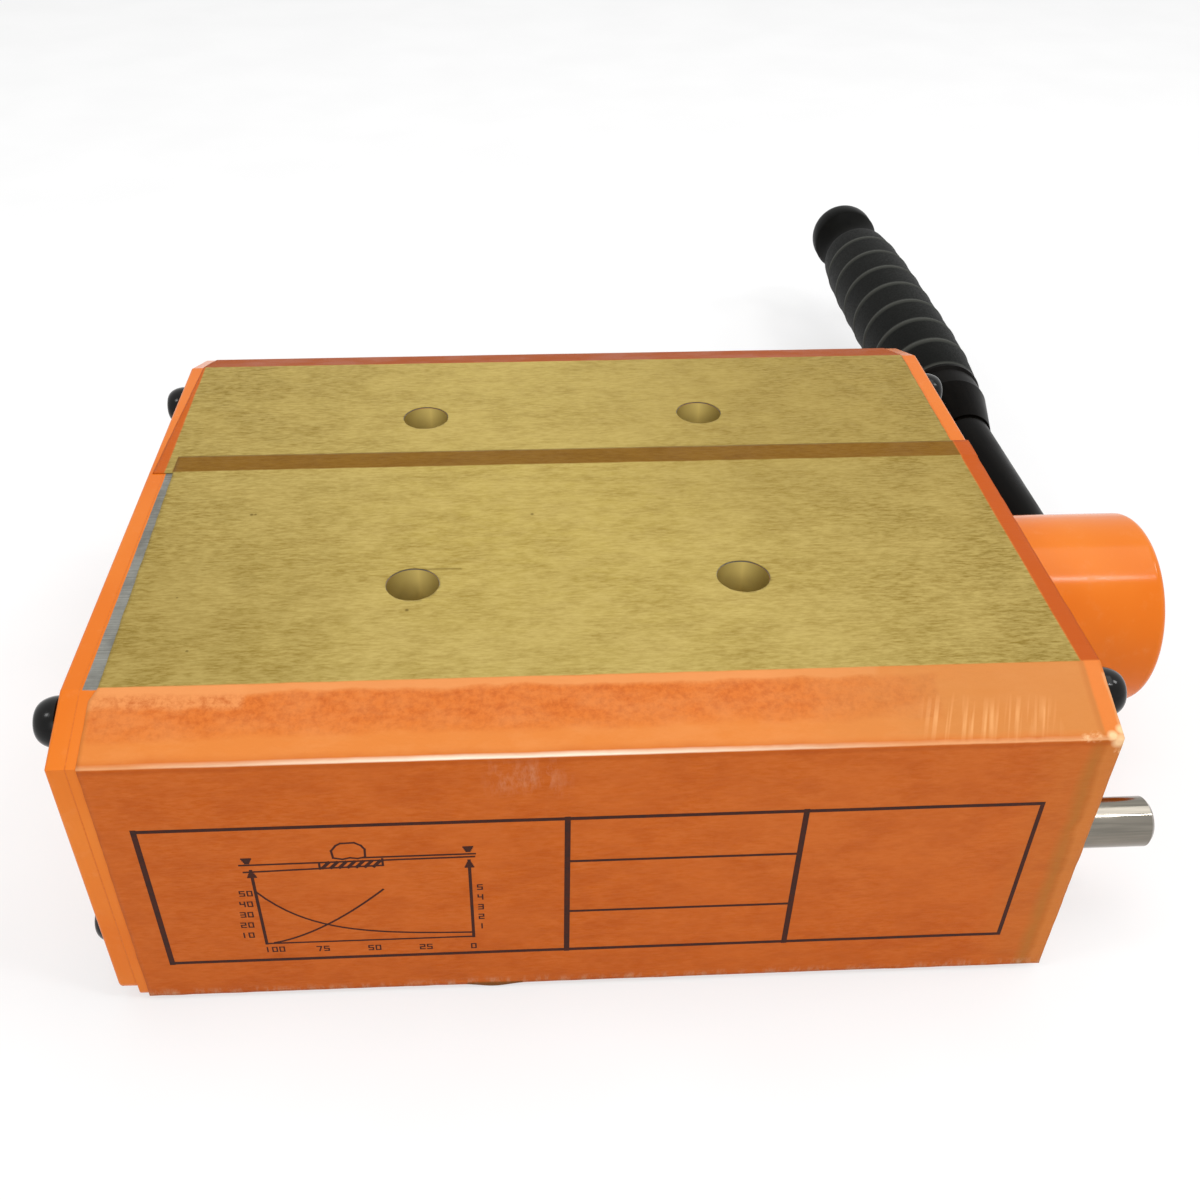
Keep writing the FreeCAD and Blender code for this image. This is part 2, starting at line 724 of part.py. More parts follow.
wedges = []
wedgeLows = {"upper": "axisHeight + rotorMagnetHeight / 2", "lower": "axisHeight - rotorRadius"}
for name, low in wedgeLows.items():
    strip = box(
        f"wedge_strip_{name}",
        ("-coreEnd", "-rotorMagnetWidth / 2", low),
        "2 * coreEnd",
        "rotorMagnetWidth",
        "wedgeHeight",
    )
    bar = doc.addObject("Part::Cylinder", f"wedge_bar_{name}")
    bar.setExpression("Radius", bound("rotorRadius"))
    bar.setExpression("Height", bound("2 * coreEnd"))
    put(bar, "-coreEnd", "0", "axisHeight", turn=toBelow)
    wedge = doc.addObject("Part::Common", f"rotor_wedge_{name}")
    wedge.Base = bar
    wedge.Tool = strip
    wedges.append(wedge)
group("rotor_wedges", wedges)


def rotorFlange(label, tip, turn):
    """End disc of the rotor with its shaft, made for the right end."""
    body = turned(
        label,
        [
            ("coreEnd", "0"),
            (tip, "0"),
            (tip, "shaftRadius"),
            ("rotorEnd", "shaftRadius"),
            ("rotorEnd", "rotorRadius"),
            ("coreEnd", "rotorRadius"),
        ],
    )
    counterbore = ("flangeScrewHead + headClearance", "flangeScrewSink")
    passage = ("flangeScrewRadius + flangeScrewPassage", None)
    for radius, depth in (counterbore, passage):
        holes = newSketch(body, "YZ_Plane", "rotorEnd")
        for angle in flangeScrewAngles:
            circle(holes, *flangeScrewSpot(angle), radius)
        pocket(body, holes, depth, along=False)
    put(body, z="axisHeight", turn=turn)
    return keep(body, label)


rotorFlange("left_rotor_flange", "blockEnd - stubGap", toLeft)
driveFlange = rotorFlange("right_rotor_flange", "shaftEnd", None)
keySeat = newSketch(driveFlange, "XY_Plane", "keyLow")
polygon(
    keySeat,
    [
        ("keyX", "-keyWidth / 2"),
        ("keyX + keyLength", "-keyWidth / 2"),
        ("keyX + keyLength", "keyWidth / 2"),
        ("keyX", "keyWidth / 2"),
    ],
)
pocket(driveFlange, keySeat, "keyHeight")
soften(driveFlange, "Chamfer", "shaftChamfer", rimAt(size("shaftEnd"), size("shaftRadius")))

flangeScrew = turned(
    "flange_screw",
    [
        ("-flangeScrewGrip", "0"),
        ("-flangeScrewGrip", "flangeScrewRadius"),
        ("0", "flangeScrewRadius"),
        ("0", "flangeScrewHead"),
        ("flangeScrewHeadHeight", "flangeScrewHead"),
        ("flangeScrewHeadHeight", "0"),
    ],
)
flangeSocket = newSketch(flangeScrew, "YZ_Plane", "flangeScrewHeadHeight")
hexagon(flangeSocket, "0", "0", "flangeScrewSocket")
pocket(flangeScrew, flangeSocket, "flangeScrewSocketDepth", along=False)
for endName, end, turn in (("left", -1, toLeft), ("right", 1, None)):
    spots = []
    for angle in flangeScrewAngles:
        across, up = flangeScrewSpot(angle)
        spots.append((signed(end, "rotorEnd - flangeScrewSink"), across, f"axisHeight + {up}"))
    copies(f"{endName}_flange_screws", flangeScrew, spots, turn)

# Hub, key and set screw

keep(
    box("shaft_key", ("keyX", "-keyWidth / 2", "axisHeight + keyLow"), "keyLength", "keyWidth", "keyHeight"),
    "shaft_key",
)

hub = turned(
    "lever_hub",
    [
        ("hubInner", "shaftRadius + threadFit"),
        ("shaftBoreEnd", "shaftRadius + threadFit"),
        ("shaftBoreEnd", "0"),
        ("hubOuter", "0"),
        *reversed(roundedCorner("hubOuter", "hubRadius", "hubRound")),
        ("hubInner", "hubRadius"),
    ],
)
soften(hub, "Chamfer", "hubChamfer", rimAt(size("hubInner"), size("hubRadius")))
keyWay = newSketch(hub, "YZ_Plane", "hubInner")
polygon(
    keyWay,
    [
        ("-keyWidth / 2", "0"),
        ("keyWidth / 2", "0"),
        ("keyWidth / 2", "keyHigh + threadFit"),
        ("-keyWidth / 2", "keyHigh + threadFit"),
    ],
)
pocket(hub, keyWay, "keyStart + keyLength")
tubeSeat = newSketch(hub, "XZ_Plane", "-tubeStart")
circle(tubeSeat, "leverX", "0", "tubeRadius + threadFit")
pocket(hub, tubeSeat, along=False)
setHole = newSketch(hub, "XY_Plane")
circle(setHole, "keyX + keyLength / 2", "0", "setScrewRadius + threadFit")
pocket(hub, setHole, along=False)
put(hub, z="axisHeight")
keep(hub, "lever_hub")

setScrew = turned(
    "hub_set_screw",
    [("0", "0"), ("0", "setScrewRadius"), ("setScrewLength", "setScrewRadius"), ("setScrewLength", "0")],
)
setSocket = newSketch(setScrew, "YZ_Plane", "setScrewLength")
hexagon(setSocket, "0", "0", "setScrewSocket")
pocket(setScrew, setSocket, "setScrewSocketDepth", along=False)
put(setScrew, "keyX + keyLength / 2", "0", "axisHeight - shaftRadius", turn=toBelow)
keep(setScrew, "hub_set_screw")

# Lever: everything is turned about an axis that starts on the rotor axis


def onLever(body, label):
    put(body, "leverX", "0", "axisHeight", turn=toRear)
    return keep(body, label)


onLever(ring("lever_tube", "tubeStart", "tubeEnd", "tubeBore", "tubeRadius"), "lever_tube")
onLever(
    turned(
        "grip_cone",
        [
            ("coneStart", "sleeveBore"),
            ("coneEnd", "sleeveBore"),
            ("coneEnd", "coneRadius"),
            ("coneStart", "coneTipRadius"),
        ],
    ),
    "grip_cone",
)
onLever(
    turned(
        "grip_ferrule",
        [
            ("coneEnd", "sleeveBore"),
            ("gripStart", "sleeveBore"),
            ("gripStart", "ferruleRadius"),
            ("gripStart - ferruleLip", "ferruleRadius"),
            ("gripStart - 2 * ferruleLip", "coneRadius"),
            ("coneEnd", "coneRadius"),
        ],
    ),
    "grip_ferrule",
)


def gripRadius(place):
    """Radius of the grip's barrel at a place along the lever."""
    return f"(gripEndRadius + gripBulge * (1 - (({place} - gripMiddle) / (gripLength / 2))^2))"


gripProfile = [
    *roundedCorner("gripEnd", "gripEndRadius", "gripShoulder"),
    ("gripEnd", "neckRadius + neckClearance"),
    ("tubeEnd", "neckRadius + neckClearance"),
    ("tubeEnd", "sleeveBore"),
    ("gripStart", "sleeveBore"),
    ("gripStart", gripRadius("gripStart")),
]
for i in range(1, gripRings + 1):
    middle = f"(gripStart + {i} * gripLength / {gripRings + 1})"
    foot = gripRadius(middle)
    gripProfile += [
        (f"{middle} - ridgeWidth / 2", foot),
        (f"{middle} - ridgeWidth / 2", f"{foot} + ridgeHeight"),
        (f"{middle} + ridgeWidth / 2", f"{foot} + ridgeHeight"),
        (f"{middle} + ridgeWidth / 2", foot),
    ]
onLever(turned("hand_grip", gripProfile), "hand_grip")

springSeat = ring("spring_seat", "seatStart", "seatEnd", "rodRadius + seatFit", "tubeBore - plugFit")
onLever(springSeat, "spring_seat")

# Button: knob, push rod, clip and the spring that returns them

flare = []
for i in range(roundSteps + 1):
    share = i / roundSteps
    widening = f"(knobRadius - neckRadius) * {share**2}"
    flare.append((f"flareStart + flareLength * {share}", f"neckRadius + {widening}"))
knob = turned(
    "button_knob",
    [
        ("neckStart", "stemRadius"),
        ("stemStart", "stemRadius"),
        ("stemStart", "rodRadius + threadFit"),
        ("rodEnd", "rodRadius + threadFit"),
        ("rodEnd", "0"),
        ("knobEnd", "0"),
        *reversed(roundedCorner("knobEnd", "knobRadius", "knobDome")),
        *reversed(flare),
        ("neckStart", "neckRadius"),
    ],
)
soften(knob, "Chamfer", "knobRim", rimAt(size("flareEnd"), size("knobRadius")))
onLever(knob, "button_knob")
onLever(
    turned(
        "push_rod",
        [
            ("rodStart", "0"),
            ("rodStart", "rodRadius - rodTip"),
            ("rodStart + rodTip", "rodRadius"),
            ("rodEnd", "rodRadius"),
            ("rodEnd", "0"),
        ],
    ),
    "push_rod",
)
rodClip = ring("rod_clip", "clipEnd - clipWidth", "clipEnd", "rodRadius + threadFit", "clipRadius")
onLever(rodClip, "rod_clip")

springPath = doc.addObject("Part::Helix", "spring_path")
springPath.setExpression("Height", bound("springLength"))
springPath.setExpression("Pitch", bound("springLength / springTurns"))
springPath.setExpression("Radius", bound("springMeanRadius"))
springSection = doc.addObject("Part::RegularPolygon", "spring_section")
springSection.Polygon = 6
springSection.setExpression("Circumradius", bound("springWire"))
put(springSection, "springMeanRadius", turn=(FreeCAD.Vector(1, 0, 0), 90))
doc.recompute()
spring = doc.addObject("Part::Sweep", "button_spring")
spring.Sections = [springSection]
spring.Spine = (springPath, ["Edge1"])
spring.Solid = True
spring.Frenet = True
put(
    spring,
    "leverX",
    "seatEnd + springEndGap + springWire",
    "axisHeight",
    turn=(FreeCAD.Vector(1, 0, 0), -90),
)
keep(spring, "button_spring")

# Wrapping paper: thin solids that follow the top, a bevel and a face


def wrapSheet(label, side, left, right, topEdge):
    """One sheet, from its edge on the top face over the bevel and down the face of its side."""
    body = newBody(label)
    sketch = newSketch(body, "YZ_Plane", left)
    under = [("topY", "bodyHeight"), ("faceY", "faceHeight"), ("faceY", "wrapHem")]
    over = [
        ("faceY + wrapThickness", "wrapHem"),
        ("faceY + wrapThickness", "faceHeight + wrapFaceCorner"),
        ("topY + wrapTopCorner", "bodyHeight + wrapThickness"),
    ]
    polygon(sketch, topEdge["under"] + [(signed(side, y), z) for y, z in under + over] + topEdge["over"])
    pad(body, sketch, f"{right} - ({left})")
    holes = newSketch(body, "XY_Plane", "overPaper")
    for end in (-1, 1):
        circle(
            holes,
            signed(end, "boltSpacingX / 2"),
            signed(side, "boltSpacingY / 2"),
            "boltHoleRadius + wrapHoleMargin",
        )
    pocket(body, holes, "overPaper - bodyHeight + cutMargin", along=False)
    keep(body, label)


# The front sheet ends on top of the rear sheet, one thickness higher
lapped = {
    "under": [
        ("lapRear", "bodyHeight + wrapThickness"),
        ("lapFront", "bodyHeight + wrapThickness"),
        ("lapFront", "bodyHeight"),
    ],
    "over": [
        ("lapFront - wrapThickness", "bodyHeight + wrapThickness"),
        ("lapFront - wrapThickness", "bodyHeight + 2 * wrapThickness"),
        ("lapRear", "bodyHeight + 2 * wrapThickness"),
    ],
}
plain = {"under": [("lapFront", "bodyHeight")], "over": [("lapFront", "bodyHeight + wrapThickness")]}
wrapSheet("front_wrap_sheet", -1, "-blockEnd + frontWrapInset", "plateOuter", lapped)
wrapSheet("rear_wrap_sheet", 1, "-plateOuter", "blockEnd - rearWrapInset", plain)

# Check everything, then write one file for each node

doc.recompute()
for item in doc.Objects:
    if "Invalid" in item.State or "Error" in item.State:
        raise ValueError(f"{item.Name} did not recompute")
for piece in nodes:
    if piece.Shape.isNull() or not piece.Shape.isValid():
        raise ValueError(f"{piece.Label} has no valid shape")
if len({piece.Label for piece in nodes}) != len(nodes):
    raise ValueError("two nodes share a name")
os.makedirs("parts", exist_ok=True)
for piece in nodes:
    piece.Shape.exportStep(f"parts/{piece.Label}.step")
print(len(nodes), "nodes written")
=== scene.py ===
import math

import bpy
from mathutils import Euler, Matrix, Vector, noise


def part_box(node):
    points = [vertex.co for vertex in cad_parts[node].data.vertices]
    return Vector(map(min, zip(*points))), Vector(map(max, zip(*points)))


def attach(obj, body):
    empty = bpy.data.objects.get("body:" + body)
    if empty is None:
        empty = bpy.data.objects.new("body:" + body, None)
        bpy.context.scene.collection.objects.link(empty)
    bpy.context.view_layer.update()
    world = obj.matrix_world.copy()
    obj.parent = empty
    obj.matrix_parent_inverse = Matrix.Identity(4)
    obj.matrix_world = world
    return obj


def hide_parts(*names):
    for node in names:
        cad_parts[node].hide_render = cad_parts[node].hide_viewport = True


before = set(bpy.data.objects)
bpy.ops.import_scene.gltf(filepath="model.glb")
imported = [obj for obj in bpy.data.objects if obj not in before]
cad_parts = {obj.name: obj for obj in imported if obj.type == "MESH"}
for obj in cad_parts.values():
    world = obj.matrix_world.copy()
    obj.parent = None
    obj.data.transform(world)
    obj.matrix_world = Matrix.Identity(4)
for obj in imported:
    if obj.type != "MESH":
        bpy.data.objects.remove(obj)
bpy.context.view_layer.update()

# Looks of a switchable magnet base: orange enamel over ground steel, wrapped in two sheets of
# oiled rust-proofing paper, with a black lever. Sizes are in millimetres, the scene is in metres.

mm = 0.001

# Sizes of the body that the sheets, the print and the finishes follow
blockLow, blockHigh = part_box("front_pole_block")
hubLow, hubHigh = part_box("lever_hub")
body = {
    "halfLength": blockHigh.x / mm,
    "halfDepth": -blockLow.y / mm,
    "height": blockHigh.z / mm,
    "topHalf": 71.0,  # flat part of the top, from the middle to the bevel
    "faceHeight": 74.0,  # lower edge of the bevel
    "plateEnd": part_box("right_end_plate")[1].x / mm,
    "axisHeight": (hubLow.z + hubHigh.z) / 2 / mm,
    "boltX": 37.5,
    "boltY": 38.25,
    "boltRadius": 6.0,
    "boltDepth": 22.0,
    "grooveHalf": 22.0,
    "grooveDepth": 9.0,
}


def linear(hexColour):
    channels = []
    for start in (1, 3, 5):
        value = int(hexColour[start:start + 2], 16) / 255
        channels.append(value / 12.92 if value <= 0.04045 else ((value + 0.055) / 1.055) ** 2.4)
    return (*channels, 1.0)


def addNode(tree, kind, settings=None, links=None):
    # one node of a material: settings hold its options and input values, links what feeds it
    node = tree.nodes.new("ShaderNode" + kind)
    for name, value in (settings or {}).items():
        if isinstance(value, str) and value.startswith("#"):
            value = linear(value)
        if isinstance(name, str) and name.islower():
            setattr(node, name, value)
        else:
            node.inputs[name].default_value = value
    for name, source in (links or {}).items():
        if isinstance(source, bpy.types.Node):
            source = next(output for output in source.outputs if output.enabled)
        tree.links.new(source, node.inputs[name])
    return node


# Patterns that the finishes share. Each gives a value between 0 and 1

driftSize = 9  # width in millimetres of the bulges in the border of a zone
anywhere = (None, None, None)  # a corner of a zone that leaves its sides open


def patches(tree, size, low=0.35, high=0.65, detail=3.0, roughness=0.5, grain=(1, 1, 1), turn=0):
    # cloudy spots about size millimetres wide, drawn out along the axes where grain is below 1,
    # and turned about the upright by so many degrees
    place = addNode(tree, "TexCoord").outputs["Object"]
    scale = tuple(size * mm / share for share in grain)
    settings = {"vector_type": "TEXTURE", "Scale": scale, "Rotation": (0, 0, math.radians(turn))}
    run = addNode(tree, "Mapping", settings, {"Vector": place})
    settings = {"Scale": 1.0, "Detail": detail, "Roughness": roughness}
    cloud = addNode(tree, "TexNoise", settings, {"Vector": run})
    return addNode(tree, "MapRange", {"From Min": low, "From Max": high}, {"Value": cloud})


def zone(tree, low, high, soft=0.3, wavy=0.0, mirrored=False):
    # 1 inside a box in millimetres, where None leaves a side open; its border wanders by wavy
    # millimetres, and a mirrored box counts in all four quarters of the body
    place = addNode(tree, "TexCoord").outputs["Object"]
    if wavy:
        settings = {"Scale": 1 / (driftSize * mm), "Detail": 4.0}
        drift = addNode(tree, "TexNoise", settings, {"Vector": place})
        swing = 4 * wavy * mm  # the noise seldom leaves the middle half of its range
        settings = {"operation": "MULTIPLY_ADD", 1: (swing,) * 3, 2: (-swing / 2,) * 3}
        drift = addNode(tree, "VectorMath", settings, {0: drift.outputs["Color"]})
        place = addNode(tree, "VectorMath", {"operation": "ADD"}, {0: place, 1: drift})
    if mirrored:
        place = addNode(tree, "VectorMath", {"operation": "ABSOLUTE"}, {0: place})
    axes = addNode(tree, "SeparateXYZ", None, {0: place})
    mask = None
    for axis in range(3):
        for bound, ends in ((low[axis], (0.0, 1.0)), (high[axis], (1.0, 0.0))):
            if bound is None:
                continue
            settings = {
                "From Min": (bound - soft / 2) * mm,
                "From Max": (bound + soft / 2) * mm,
                "To Min": ends[0],
                "To Max": ends[1],
            }
            side = addNode(tree, "MapRange", settings, {"Value": axes.outputs[axis]})
            if mask:
                side = addNode(tree, "Math", {"operation": "MULTIPLY"}, {0: mask, 1: side})
            mask = side
    return mask


def paint(tree, base, coats):
    # colours laid over one another; each coat is where it lies, how much it covers, its colour
    for pattern, cover, colour in coats:
        if isinstance(pattern, tuple):  # two patterns that must both hold
            pattern = addNode(tree, "Math", {"operation": "MULTIPLY"}, {0: pattern[0], 1: pattern[1]})
        amount = addNode(tree, "Math", {"operation": "MULTIPLY", 1: cover}, {0: pattern})
        settings, links = {"data_type": "RGBA"}, {0: amount}
        for index, value in ((6, base), (7, colour)):
            (settings if isinstance(value, str) else links)[index] = value
        base = addNode(tree, "Mix", settings, links)
    return base


def specks(tree, marks):
    # small round marks; each is its place on the body and its radius in millimetres. A mark begins
    # a little outside its radius and is full at half of it
    place = addNode(tree, "TexCoord").outputs["Object"]
    mask = None
    for x, y, z, radius in marks:
        settings = {"operation": "DISTANCE", 1: (x * mm, y * mm, z * mm)}
        away = addNode(tree, "VectorMath", settings, {0: place}).outputs["Value"]
        settings = {"From Min": 1.3 * radius * mm, "From Max": 0.5 * radius * mm}
        spot = addNode(tree, "MapRange", settings, {"Value": away})
        mask = addNode(tree, "Math", {"operation": "MAXIMUM"}, {0: mask, 1: spot}) if mask else spot
    return mask


def newFinish(name):
    material = bpy.data.materials.new(name)
    material.use_nodes = True
    material.node_tree.nodes.clear()
    return material, material.node_tree


def closeFinish(tree, colour, shine, relief, look, links=None):
    # shine is the pattern that the roughness follows from the look's first value to its second,
    # and relief the pattern that stands up by the look's relief in millimetres
    low, high = look["roughness"]
    rough = addNode(tree, "MapRange", {"To Min": low, "To Max": high}, {"Value": shine})
    settings = {"Distance": look["relief"] * mm, "Strength": 0.5}
    bump = addNode(tree, "Bump", settings, {"Height": relief})
    feeds = {"Base Color": colour, "Roughness": rough, "Normal": bump, **(links or {})}
    shader = addNode(tree, "BsdfPrincipled", look["settings"], feeds)
    addNode(tree, "OutputMaterial", None, {"Surface": shader})


# Finishes

enamelLook = {
    "dark": "#D86F18",
    "light": "#DE7B27",
    "dust": "#F0B884",
    "cloud": 40,  # width of the slight changes in colour
    "peel": 1.6,
    "relief": 0.003,
    "roughness": (0.16, 0.3),  # clean and dusty
    "settings": {"IOR": 1.5, "Specular IOR Level": 0.14},
}


def enamelColour(tree):
    cloud = patches(tree, enamelLook["cloud"], detail=2)
    return paint(tree, enamelLook["dark"], [(cloud, 1.0, enamelLook["light"])])


def stovingEnamel():
    # stoving enamel on steel: an even orange gloss with a faint orange peel and a little dust
    material, tree = newFinish("orangeStovingEnamel")
    dust = patches(tree, 5, 0.55, 0.75, detail=6, roughness=0.7)
    colour = paint(tree, enamelColour(tree), [(dust, 0.08, enamelLook["dust"])])
    closeFinish(tree, colour, dust, patches(tree, enamelLook["peel"], detail=1), enamelLook)
    return material


steelLook = {
    "dark": "#767670",
    "light": "#96968F",
    "stain": "#5B5952",
    "lines": 0.5,  # distance between the grinding lines
    "relief": 0.01,
    "bore": "#6E561C",
    # colour of the painted highlight down the middle of each bore's wall
    "borePaintedHighlight": "#F4DC84",
    "highlightHalfWidth": 7.5,  # half width of the painted highlight stripe down a bore's wall
    "highlightShift": 1.0,  # how far right of the middle the painted highlight is brightest
    "enamelLap": 0.4,  # enamel over both ends of the top
    "metallic": 0.3,  # low, because a film of oil dulls it
    "roughness": (0.25, 0.55),  # enamelled and bare
    "settings": enamelLook["settings"],
}


def bodySteel():
    # the pole blocks: enamel on faces and bevels, surface-ground steel on top and underneath
    material, tree = newFinish("enamelledSteelWithGroundFaces")
    end = body["halfLength"] - steelLook["enamelLap"]
    topFace = zone(tree, (-end, None, body["height"] - 0.1), (end, None, None), soft=0.1, wavy=0.1)
    underFace = zone(tree, anywhere, (None, None, 0.3), soft=0.1)
    wall = body["grooveHalf"] + 0.2
    groove = zone(tree, (None, -wall, None), (None, wall, body["grooveDepth"] + 0.2), soft=0.1)
    reach = body["boltRadius"] + 0.2
    boreLow = (body["boltX"] - reach, body["boltY"] - reach, body["height"] - body["boltDepth"] - 1)
    boreHigh = (body["boltX"] + reach, body["boltY"] + reach, body["height"] - 0.15)
    bores = zone(tree, boreLow, boreHigh, soft=0.05, mirrored=True)
    # the grinding lines run along the block, drawn half a millimetre apart so that they show
    lines = patches(tree, steelLook["lines"], grain=(0.02, 1, 0.5))
    stain = patches(tree, 9, 0.42, 0.62, detail=5, roughness=0.65)
    coats = [(lines, 0.8, steelLook["light"]), (stain, 0.6, steelLook["stain"])]
    steel = paint(tree, steelLook["dark"], coats)
    # the bores, gone olive brown with rust-proofing oil, with a painted highlight stripe down the middle of
    # their wall
    place = addNode(tree, "TexCoord").outputs["Object"]
    across = addNode(tree, "SeparateXYZ", None, {0: place}).outputs["X"]
    near = body["boltX"] * mm
    settings = {"operation": "WRAP", 1: 2 * near, 2: 0.0}
    across = addNode(tree, "Math", settings, {0: across})
    stripe = []
    for reach in (-steelLook["highlightHalfWidth"], steelLook["highlightHalfWidth"]):
        settings = {"From Min": near + reach * mm, "From Max": near + steelLook["highlightShift"] * mm}
        stripe.append(addNode(tree, "MapRange", settings, {"Value": across}))
    # oiled bore colour with its painted highlight stripe
    oiled = paint(tree, steelLook["bore"], [(tuple(stripe), 0.9, steelLook["borePaintedHighlight"])])
    coats = [(topFace, 1, steel), (underFace, 1, steel), (groove, 1, steel), (bores, 1, oiled)]
    colour = paint(tree, enamelColour(tree), coats)
    bare = addNode(tree, "Math", {"operation": "MAXIMUM"}, {0: topFace, 1: underFace})
    bare = addNode(tree, "Math", {"operation": "MAXIMUM"}, {0: bare, 1: groove})
    settings = {"operation": "MULTIPLY", 1: steelLook["metallic"]}
    metallic = addNode(tree, "Math", settings, {0: bare})
    closeFinish(tree, colour, bare, lines, steelLook, {"Metallic": metallic})
    return material


